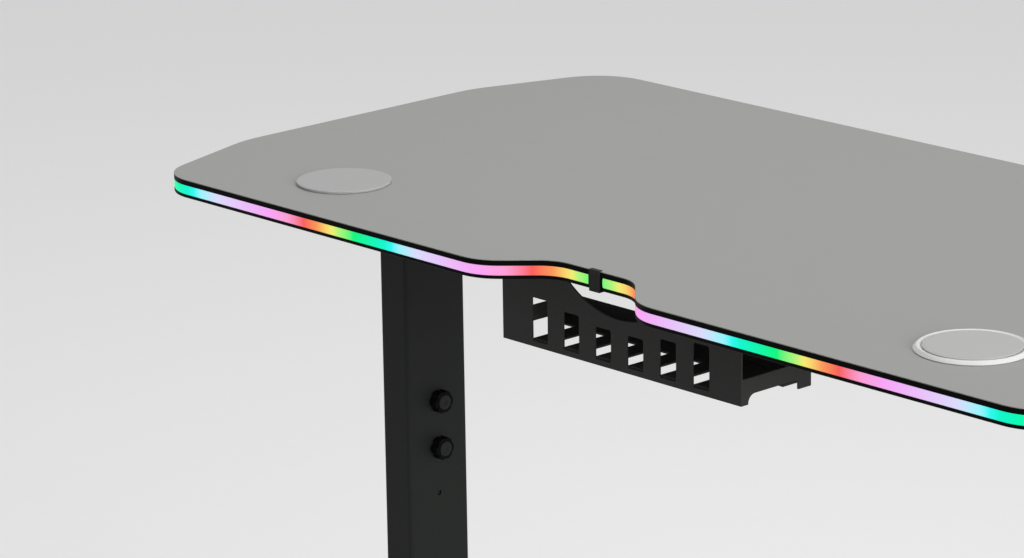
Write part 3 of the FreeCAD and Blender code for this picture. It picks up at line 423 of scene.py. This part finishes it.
def foot_finish():
    """Black rubber pad that turns into a plated steel stem above it."""
    finish = Finish("foot_finish", Specular_IOR_Level=0.4)
    height = finish.node("ShaderNodeSeparateXYZ", Vector=finish.place).outputs["Z"]
    steel = finish.between(height, 0.0, 1.0, (PAD_TOP - RELIEF, PAD_TOP + RELIEF))
    grain = finish.noise(1500.0)
    rubber = finish.ramp(grain, [(0.3, (0.010, 0.010, 0.010)), (0.7, (0.016, 0.016, 0.016))])
    plated = finish.ramp(grain, [(0.3, (0.20, 0.20, 0.21)), (0.7, (0.27, 0.27, 0.28))])
    blend = finish.node("ShaderNodeMixRGB", Fac=steel, Color1=rubber, Color2=plated)
    finish.drive("Base Color", blend.outputs["Color"])
    finish.drive("Metallic", steel)
    finish.drive("Roughness", finish.between(steel, 0.70, 0.34, (0.0, 1.0)))
    finish.bump(finish.cells(2200.0), 0.12, RELIEF)
    return finish


def copper():
    """Enamelled copper winding: rings about the middle of the coil."""
    finish = Finish("copper", Metallic=1.0)
    low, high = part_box("charger_coil")
    middle = (low + high) / 2
    shifted = finish.node("ShaderNodeVectorMath", finish.place, middle, settings={"operation": "SUBTRACT"})
    wave = finish.node("ShaderNodeTexWave", settings={"wave_type": "RINGS", "rings_direction": "Z"},
                       Vector=shifted.outputs["Vector"], Scale=160.0).outputs["Fac"]
    finish.drive("Base Color", finish.ramp(wave, [(0.0, (0.26, 0.10, 0.04)), (0.6, (0.62, 0.29, 0.13))]))
    finish.drive("Roughness", finish.between(finish.noise(900.0), 0.25, 0.40))
    finish.bump(wave, 0.5, 2 * RELIEF)
    return finish


def circuit():
    """Green circuit board with paler tracks."""
    finish = Finish("circuit")
    tracks = finish.node("ShaderNodeTexVoronoi", settings={"feature": "DISTANCE_TO_EDGE"},
                         Vector=finish.place, Scale=260.0).outputs["Distance"]
    green = [(0.05, (0.05, 0.30, 0.11)), (0.12, (0.012, 0.12, 0.045))]
    finish.drive("Base Color", finish.ramp(tracks, green))
    finish.drive("Roughness", finish.between(finish.noise(500.0), 0.30, 0.45))
    finish.bump(tracks, 0.1, RELIEF / 2)
    return finish


def tape_finish():
    """White flexible tape of the lights."""
    return grained("tape_finish", (0.72, 0.72, 0.70), 0.04, 900.0, 0.05, (0.40, 0.55))


# Colours along one repeat of the strip: (share of the repeat, colour)
RAINBOW = [
    (0.000, (0.004, 0.900, 0.200)),
    (0.075, (0.440, 0.890, 0.190)),
    (0.105, (0.860, 0.830, 0.170)),
    (0.135, (0.930, 0.640, 0.150)),
    (0.180, (0.930, 0.310, 0.100)),
    (0.245, (0.920, 0.110, 0.100)),
    (0.330, (0.930, 0.340, 0.640)),
    (0.420, (0.915, 0.370, 0.900)),
    (0.560, (0.800, 0.520, 0.930)),
    (0.690, (0.700, 0.690, 0.950)),
    (0.780, (0.300, 0.880, 0.950)),
    (0.815, (0.030, 0.910, 0.860)),
    (0.850, (0.004, 0.900, 0.600)),
    (1.000, (0.004, 0.900, 0.200)),
]


def light_finish():
    """Milky strip lit from behind, in colours that repeat along the edge."""
    finish = Finish("light_finish", Roughness=0.35, Specular_IOR_Level=0.06)
    along = finish.node("ShaderNodeAttribute", settings={"attribute_name": "along"}).outputs["Fac"]
    share = finish.math("FRACT", finish.math("DIVIDE", along, RAINBOW_LENGTH))
    # The base colour is the glow colours darkened: painted LED light in the colour of a milky white strip.
    glow_tint = [(position, shade(colour, GLOW_TINT_SHARE)) for position, colour in RAINBOW]
    finish.drive("Base Color", finish.ramp(share, glow_tint))
    finish.drive("Emission Color", finish.ramp(share, RAINBOW))
    finish.shader.inputs["Emission Strength"].default_value = LIGHT_STRENGTH
    finish.bump(finish.noise(700.0), 0.05, RELIEF)
    return finish


def floor_finish():
    """Plain pale floor, which looks paler than it lights."""
    finish = grained("floor_finish", (0.50, 0.50, 0.50), 0.01, 40.0, 0.0, (0.70, 0.80), specular=0.2)
    finish.shader.inputs["Emission Color"].default_value = (1.0, 1.0, 1.0, 1.0)
    finish.drive("Emission Strength", finish.math("MULTIPLY", seen_ray(finish.tree), FLOOR_SEEN))
    return finish


FINISHES = {
    "desktop": laminate(),
    "trim": edge_plastic(),
    "light": light_finish(),
    "tape": tape_finish(),
    "black_plastic": moulded_plastic(),
    "button": button_rubber(),
    "cap": cap_plastic(),
    "charger_ring": ring_plastic(),
    "charger_pad": pad_plastic(),
    "coil": copper(),
    "circuit": circuit(),
    "frame_steel": powder_coat(),
    "tray_steel": tray_coat(),
    "fastener": zinc(),
    "foot_pad": foot_finish(),
}
CLIP_FINISH = clip_plastic()


def dress_nodes():
    """Give every CAD node the finish of its slot."""
    for name, node in NODES.items():
        finish = CLIP_FINISH if name == "light_clip" else FINISHES[SLOT_OF[name]]
        node.data.materials.clear()
        node.data.materials.append(finish.material)


# Mesh helpers


def skin(bm, rings, loop=False):
    """Quads between neighbouring rings of points; the ends are capped unless the rings loop round."""
    made = [[bm.verts.new(point) for point in ring] for ring in rings]
    pairs = list(zip(made, made[1:]))
    if loop:
        pairs.append((made[-1], made[0]))
    else:
        bm.faces.new(made[0])
        bm.faces.new(made[-1])
    for first, second in pairs:
        for index, corner in enumerate(first):
            beside = (index + 1) % len(first)
            bm.faces.new((corner, first[beside], second[beside], second[index]))
    return made


def add_piece(name, bm, body, slot, replaced=()):
    """Turn a bmesh into a smooth piece that rides on a body."""
    bmesh.ops.recalc_face_normals(bm, faces=bm.faces)
    mesh = bpy.data.meshes.new(name)
    bm.to_mesh(mesh)
    bm.free()
    mesh.materials.append(FINISHES[slot].material)
    mesh.shade_smooth()
    mesh.set_sharp_from_angle(angle=SMOOTH_ANGLE)
    piece = bpy.data.objects.new(name, mesh)
    bpy.context.scene.collection.objects.link(piece)
    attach(piece, body)
    if replaced:
        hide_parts(*replaced)
    return piece


# Outline of the desktop


def half_outline():
    """Right half of the outline, from the middle of the recess to the middle of the user's side.

    Each station is (point, outward direction, length along the edge).
    """
    recess_y = REAR_Y - RECESS_DEPTH
    corners = [(RECESS_HALF_FLOOR, recess_y, RECESS_INNER_R),
               (RECESS_HALF_FLOOR + RECESS_DEPTH, REAR_Y, RECESS_OUTER_R),
               (HALF_LENGTH - REAR_CHAMFER_X, REAR_Y, REAR_CORNER_R),
               (HALF_LENGTH, REAR_Y - REAR_CHAMFER_Y, SIDE_CORNER_R),
               (HALF_LENGTH, FRONT_Y + FRONT_CHAMFER_Y, SIDE_CORNER_R),
               (HALF_LENGTH - FRONT_CHAMFER_X, FRONT_Y, FRONT_CORNER_R)]
    points = [Vector((0, recess_y))] + [Vector(corner[:2]) for corner in corners] + [Vector((0, FRONT_Y))]
    stations = [(points[0], Vector((0, 1)))]
    for before, here, after, corner in zip(points, points[1:], points[2:], corners):
        stations += rounded_corner(before, here, after, corner[2])
    stations.append((points[-1], Vector((0, -1))))
    along = 0.0
    result = []
    for index, (point, outward) in enumerate(stations):
        along += (point - stations[index - 1][0]).length if index else 0.0
        result.append((point, outward, along))
    return result


def rounded_corner(before, here, after, radius, step_angle=ARC_STEP):
    """Points on the arc that rounds one corner, with their outward directions."""
    back = (before - here).normalized()
    ahead = (after - here).normalized()
    half = back.angle(ahead) / 2
    centre = here + (back + ahead).normalized() * (radius / math.sin(half))
    first = here + back * (radius / math.tan(half)) - centre
    last = here + ahead * (radius / math.tan(half)) - centre
    start = math.atan2(first.y, first.x)
    sweep = math.atan2(first.cross(last), first.dot(last))
    outward_sign = -math.copysign(1.0, sweep)
    steps = max(2, math.ceil(abs(sweep) / step_angle))
    arc = []
    for step in range(steps + 1):
        angle = start + sweep * step / steps
        spoke = Vector((math.cos(angle), math.sin(angle)))
        arc.append((centre + spoke * radius, spoke * outward_sign))
    return arc


def mirrored(stations):
    """The same stations on the left half."""
    return [(Vector((-p.x, p.y)), Vector((-n.x, n.y)), along) for p, n, along in stations]


def stretch(stations, start_x, end_y):
    """Stations from a place on the recess floor to a place on the straight side."""
    side = [s for s in stations if abs(s[0].x) >= start_x and s[0].y >= end_y]
    floor_y = stations[0][0].y
    first = (Vector((start_x, floor_y)), stations[0][1], start_x)
    last_point = Vector((side[-1][0].x, end_y))
    last = (last_point, side[-1][1], side[-1][2] + (last_point - side[-1][0]).length)
    return [first] + side + [last]


def edge_ring(station, profile):
    """Section at one station: profile points are (inset, height)."""
    point, outward, _ = station
    return [Vector((*(point - outward * inset), height)) for inset, height in profile]


def band_profile():
    """Section of the edge band: rounded at its lower outer edge, square under the laminate."""
    low, high = TRIM_LOW.z, TRIM_HIGH.z
    profile = [(TRIM_THICK, low)]
    for step in range(TRIM_STEPS + 1):
        angle = math.radians(90 * step / TRIM_STEPS)
        inset = TRIM_ROUND * (1 - math.sin(angle))
        profile.append((inset, low + TRIM_ROUND * (1 - math.cos(angle))))
    return profile + [(0.0, high), (TRIM_THICK, high)]


def strip_profile(low, high):
    """Section of the light strip: a crowned face and a flat back."""
    middle = (low + high) / 2
    half = (high - low) / 2
    face = []
    for step in range(STRIP_STEPS + 1):
        height = low + (high - low) * step / STRIP_STEPS
        share = (height - middle) / half
        face.append((STRIP_CROWN * share ** 4, height))
    return face + [(STRIP_DEPTH, high), (STRIP_DEPTH, low)]


def make_edge():
    """Edge band all round with a window on each side, and the two lit strips in the windows."""
    right = half_outline()
    left = mirrored(right)
    bm = bmesh.new()
    skin(bm, [edge_ring(s, band_profile()) for s in right + left[-2:0:-1]], loop=True)
    band = add_piece("edge_band", bm, "top", "trim", ["edge_trim"])
    light_low, light_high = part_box("light_diffuser_right")
    window_low = light_low.z - WINDOW_GAP
    window_high = light_high.z + WINDOW_GAP
    cut = [(-TRIM_THICK, window_low), (-TRIM_THICK, window_high), (2 * TRIM_THICK, window_high),
           (2 * TRIM_THICK, window_low)]
    window = stretch(right, light_low.x - WINDOW_GAP, light_low.y - WINDOW_GAP)
    lit = stretch(right, light_low.x, light_low.y)
    for side, cutter_path, strip_path in (("right", window, lit), ("left", mirrored(window), mirrored(lit))):
        cut_away(band, [edge_ring(s, cut) for s in cutter_path])
        bm = bmesh.new()
        layer = bm.verts.layers.float.new("along")
        rings = skin(bm, [edge_ring(s, strip_profile(light_low.z, light_high.z)) for s in strip_path])
        for station, ring in zip(strip_path, rings):
            for vert in ring:
                vert[layer] = station[2]
        add_piece("light_strip_" + side, bm, "top", "light", ["light_diffuser_" + side])


def cut_away(piece, rings):
    """Cut the solid between the rings out of a piece."""
    bm = bmesh.new()
    skin(bm, rings)
    bmesh.ops.recalc_face_normals(bm, faces=bm.faces)
    mesh = bpy.data.meshes.new("cutter")
    bm.to_mesh(mesh)
    bm.free()
    cutter = bpy.data.objects.new("cutter", mesh)
    bpy.context.scene.collection.objects.link(cutter)
    boolean = piece.modifiers.new("cut", "BOOLEAN")
    boolean.operation = "DIFFERENCE"
    boolean.solver = "EXACT"
    boolean.object = cutter
    bpy.context.view_layer.update()
    result = bpy.data.meshes.new_from_object(piece.evaluated_get(bpy.context.evaluated_depsgraph_get()))
    piece.modifiers.clear()
    piece.data = result
    piece.data.set_sharp_from_angle(angle=SMOOTH_ANGLE)
    bpy.data.objects.remove(cutter)
    bpy.data.meshes.remove(mesh)


# Charger


def soft_profile(corners):
    """Open outline through (radius, height, rounding) corners."""
    points = [Vector(corner[:2]) for corner in corners]
    outline = [points[0]]
    for before, here, after, corner in zip(points, points[1:], points[2:], corners[1:]):
        if corner[2]:
            outline += [point for point, _ in rounded_corner(before, here, after, corner[2], PROFILE_STEP)]
        else:
            outline.append(here)
    return outline + [points[-1]]


def turned_rings(centre, outline):
    """Circles about an upright axis, one for each (radius, height) of an outline."""
    middle = Vector((centre.x, centre.y, 0))
    return [[middle + point for point in round_ring(radius, height, CHARGER_POINTS)]
            for radius, height in outline]


def make_charger():
    """Cup with a sloping rim that dishes down to the disc, and the slightly crowned disc in it."""
    low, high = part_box("charger_housing")
    disc_low, disc_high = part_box("charger_pad")
    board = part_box("desktop_board")[1].z
    centre = (low + high) / 2
    rim_r = (high.x - low.x) / 2
    disc_r = (disc_high.x - disc_low.x) / 2
    seat_r = disc_r + DISC_GAP
    bore_r = CUP_R - CUP_WALL
    foot_r = rim_r - RIM_FOOT
    seat_z = disc_low.z
    cup = soft_profile([(CUP_R, board, 0), (foot_r, board, 0), (foot_r, board + RIM_GAP, 0),
                        (rim_r, board + RIM_GAP, 0), (rim_r, board + RIM_FOOT, RIM_GAP / 3),
                        (rim_r - RIM_SLOPE, high.z, RIM_ROUND), (seat_r, high.z - RIM_DISH, RIM_ROUND / 4),
                        (seat_r, seat_z, 0), (bore_r, seat_z, 0), (bore_r, low.z, 0), (CUP_R, low.z, 0)])
    bm = bmesh.new()
    skin(bm, turned_rings(centre, cup), loop=True)
    add_piece("charger_rim", bm, "top", "charger_ring", ["charger_housing"])

    shoulder = high.z - DISC_CROWN
    disc = soft_profile([(disc_r, seat_z, 0), (disc_r, shoulder, DISC_ROUND), (disc_r / 2, shoulder, 0)])
    disc.pop()
    inner_r = disc[-1].x
    for ring in range(1, DISC_RINGS):
        share = ring / DISC_RINGS
        disc.append(Vector((inner_r * (1 - share), shoulder + DISC_CROWN * (1 - (1 - share) ** 2))))
    bm = bmesh.new()
    skin(bm, turned_rings(centre, disc))
    add_piece("charger_disc", bm, "top", "charger_pad", ["charger_pad"])


# Fasteners and knob inserts


def ring_angles(count=RING_POINTS):
    """Even steps round a full turn."""
    return [2 * math.pi * index / count for index in range(count)]


def round_ring(radius, height, count=RING_POINTS):
    """Circle of points about the local Z axis."""
    return [Vector((radius * math.cos(a), radius * math.sin(a), height)) for a in ring_angles(count)]


def hexagon_ring(radius, height):
    """Hexagon with its flats at a radius."""
    ring = []
    for angle in ring_angles():
        off_flat = (angle % math.radians(60)) - math.radians(30)
        reach = radius / math.cos(off_flat)
        ring.append(Vector((reach * math.cos(angle), reach * math.sin(angle), height)))
    return ring


def cross_ring(reach, half_width, height):
    """Plus sign whose arms have a reach and a half width."""
    ring = []
    for angle in ring_angles():
        c = max(abs(math.cos(angle)), 1e-6)
        s = max(abs(math.sin(angle)), 1e-6)
        radius = max(min(reach / c, half_width / s), min(reach / s, half_width / c))
        ring.append(Vector((radius * math.cos(angle), radius * math.sin(angle), height)))
    return ring


def bolt_rings(shank_length):
    """Socket-head bolt, with its seat at Z = 0 and its head up."""
    top = BOLT_HEAD_HEIGHT
    return [hexagon_ring(BOLT_SOCKET_R * 0.9, top - BOLT_SOCKET_DEPTH), hexagon_ring(BOLT_SOCKET_R, top),
            round_ring(BOLT_HEAD_R - BOLT_ROUND, top),
            round_ring(BOLT_HEAD_R - BOLT_ROUND * 0.3, top - BOLT_ROUND * 0.3),
            round_ring(BOLT_HEAD_R, top - BOLT_ROUND), round_ring(BOLT_HEAD_R, 0.0),
            round_ring(BOLT_SHANK_R, 0.0), round_ring(BOLT_SHANK_R, -shank_length)]


def screw_rings(shank_length):
    """Pan-head screw with a cross recess, with its seat at Z = 0 and its head up."""
    top = SCREW_HEAD_HEIGHT
    return [cross_ring(SCREW_CROSS_R * 0.45, SCREW_CROSS_HALF_WIDTH * 0.6, top - SCREW_CROSS_DEPTH),
            cross_ring(SCREW_CROSS_R, SCREW_CROSS_HALF_WIDTH, top),
            round_ring(SCREW_HEAD_R * 0.62, top), round_ring(SCREW_HEAD_R * 0.85, top * 0.88),
            round_ring(SCREW_HEAD_R * 0.97, top * 0.62), round_ring(SCREW_HEAD_R, top * 0.3),
            round_ring(SCREW_HEAD_R, 0.0), round_ring(SCREW_SHANK_R, 0.0),
            round_ring(SCREW_SHANK_R, -shank_length)]


def add_turned(bm, rings, seat, direction):
    """Skin over rings that were drawn about the Z axis, stood on a seat and turned to a direction."""
    turn = Vector(direction).to_track_quat("Z", "Y").to_matrix().to_4x4()
    place = Matrix.Translation(seat) @ turn
    skin(bm, [[place @ point for point in ring] for ring in rings])


def add_fasteners(name, rings, places, body, replaced):
    """Copies of one fastener at (seat, direction of the head) places, as one piece."""
    bm = bmesh.new()
    for seat, direction in places:
        add_turned(bm, rings, seat, direction)
    add_piece(name, bm, body, "fastener", [replaced])


def make_knob_inserts():
    """Round insert with a dimple in the face of each clamp knob, in the paler frame coat as a painted
    highlight on the lit face.
    """
    floor = INSERT_HEIGHT - INSERT_DIMPLE_DEPTH
    outline = soft_profile([(INSERT_R, -INSERT_SINK, 0), (INSERT_R, INSERT_HEIGHT, INSERT_ROUND),
                            (INSERT_DIMPLE_R, INSERT_HEIGHT, INSERT_ROUND), (INSERT_DIMPLE_R, floor, 0),
                            (INSERT_DIMPLE_R / 2, floor, 0)])
    rings = [round_ring(radius, height) for radius, height in outline]
    for side, sign in (("right", -1), ("left", 1)):
        for level in ("upper", "lower"):
            place = "%s_%s" % (side, level)
            low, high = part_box("clamp_knob_" + place)
            face = (low + high) / 2
            face.x = low.x if sign < 0 else high.x
            bm = bmesh.new()
            add_turned(bm, rings, face, (sign, 0, 0))
            # The frame's paler powder coat on the insert is painted light on the knob's lit face; its black
            # plastic sides stay dark.
            add_piece("knob_insert_" + place, bm, "knob_" + place, "frame_steel")


def make_fasteners():
    """Bolts and visible screws in the places of the CAD ones."""
    down = (0, 0, -1)
    up = (0, 0, 1)
    for side in ("right", "left"):
        node = "foot_bolts_" + side
        low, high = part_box(node)
        x = (low.x + high.x) / 2
        seat = high.z - BOLT_HEAD_HEIGHT
        places = [(Vector((x, y, seat)), up) for y in (low.y + BOLT_HEAD_R, high.y - BOLT_HEAD_R)]
        add_fasteners("foot_socket_bolts_" + side, bolt_rings(seat - low.z), places, side + "_base", node)

    low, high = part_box("plate_bolts")
    seat = low.z + BOLT_HEAD_HEIGHT
    places = [(Vector((x, y, seat)), down) for x in (low.x + BOLT_HEAD_R, high.x - BOLT_HEAD_R)
              for y in (low.y + BOLT_HEAD_R, high.y - BOLT_HEAD_R)]
    add_fasteners("plate_socket_bolts", bolt_rings(high.z - seat), places, "top", "plate_bolts")

    low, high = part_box("rail_bolts")
    arm_low, arm_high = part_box("side_arm_right")
    seat_x = high.x - BOLT_HEAD_HEIGHT
    z = (low.z + high.z) / 2
    places = [(Vector((sign * seat_x, y, z)), (sign, 0, 0)) for sign in (1, -1)
              for y in (low.y + BOLT_HEAD_R, high.y - BOLT_HEAD_R)]
    grip = arm_high.x - arm_low.x + 2 * BOLT_HEAD_HEIGHT
    add_fasteners("rail_socket_bolts", bolt_rings(grip), places, "top", "rail_bolts")

    low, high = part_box("tray_screws")
    seat = low.z + SCREW_HEAD_HEIGHT
    y = (low.y + high.y) / 2
    outer = high.x - SCREW_HEAD_R
    places = [(Vector((sign * x, y, seat)), down) for sign in (1, -1)
              for x in (outer, outer - TRAY_SCREW_SPREAD)]
    add_fasteners("tray_pan_screws", screw_rings(high.z - seat), places, "top", "tray_screws")


# Welds and threads


def rectangle_path(middle, half_x, half_y, radius, step):
    """Points round an upright tube with rounded corners, with their outward directions."""
    path = []
    for index, (sign_x, sign_y) in enumerate(((1, 1), (-1, 1), (-1, -1), (1, -1))):
        centre = Vector((middle.x + sign_x * (half_x - radius), middle.y + sign_y * (half_y - radius)))
        for turn in range(4):
            angle = math.radians(90 * index + 30 * turn)
            spoke = Vector((math.cos(angle), math.sin(angle)))
            path.append((centre + spoke * radius, spoke))
    dense = []
    for index, (point, outward) in enumerate(path):
        target, target_outward = path[(index + 1) % len(path)]
        count = max(1, round((target - point).length / step))
        for part in range(count):
            share = part / count
            dense.append((point.lerp(target, share), outward.lerp(target_outward, share).normalized()))
    return dense


def add_bead(bm, path, plate_z, side, loop):
    """Rippled bead along a path, in the corner between a tube and a plate; side is 1 above the plate."""
    rings = []
    for index, (point, outward) in enumerate(path):
        radius = WELD_R * (1 + WELD_RIPPLE * math.sin(index * math.pi / 2))
        ring = []
        for angle in ring_angles(WELD_POINTS):
            reach = radius * (WELD_CENTRE_SHARE + (1 - WELD_CENTRE_SHARE) * math.cos(angle))
            rise = side * radius * (WELD_CENTRE_SHARE + (1 - WELD_CENTRE_SHARE) * math.sin(angle))
            ring.append(Vector((*(point + outward * reach), plate_z + rise)))
        rings.append(ring)
    skin(bm, rings, loop)


def make_welds():
    """Beads round the foot of each lower tube, and along the narrow sides of each upper tube."""
    step = WELD_RIPPLE_PITCH / 4
    for side in ("right", "left"):
        low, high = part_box("column_inner_" + side)
        bm = bmesh.new()
        half = (high - low) / 2
        path = rectangle_path((low + high) / 2, half.x, half.y, INNER_CORNER_R, step)
        add_bead(bm, path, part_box("base_plate_" + side)[1].z, 1, True)
        add_piece("foot_weld_" + side, bm, side + "_base", "frame_steel")

        low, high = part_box("column_outer_" + side)
        start = low.x + OUTER_CORNER_R
        count = round((high.x - OUTER_CORNER_R - start) / step)
        bm = bmesh.new()
        for y, outward in ((low.y, -1), (high.y, 1)):
            path = [(Vector((start + index * step, y)), Vector((0, outward))) for index in range(count + 1)]
            add_bead(bm, path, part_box("top_plate_" + side)[0].z, -1, False)
        add_piece("top_weld_" + side, bm, "top", "frame_steel")


def make_threads():
    """Screw thread on the part of each levelling stem that shows under the foot bar."""
    turns = (THREAD_TO_Z - THREAD_FROM_Z) / THREAD_PITCH
    half = THREAD_PITCH * THREAD_HALF_SHARE
    for side in ("right", "left"):
        for place in ("front", "rear"):
            corner = "%s_%s" % (side, place)
            low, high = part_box("levelling_foot_" + corner)
            middle = (low + high) / 2
            rings = []
            for index in range(int(turns * THREAD_STEPS) + 1):
                angle = 2 * math.pi * index / THREAD_STEPS
                z = THREAD_FROM_Z + THREAD_PITCH * index / THREAD_STEPS
                spoke = Vector((math.cos(angle), math.sin(angle)))
                ring = []
                for reach, rise in ((-THREAD_DEPTH, -half), (THREAD_DEPTH, 0.0), (-THREAD_DEPTH, half)):
                    at = Vector((middle.x, middle.y)) + spoke * (THREAD_STEM_R + reach)
                    ring.append(Vector((*at, z + rise)))
                rings.append(ring)
            bm = bmesh.new()
            skin(bm, rings)
            add_piece("leveller_thread_" + corner, bm, "leveller_" + corner, "foot_pad")


make_camera()
make_studio()
make_floor(floor_finish().material)
dress_nodes()
make_edge()
make_charger()
make_knob_inserts()
make_fasteners()
make_welds()
make_threads()
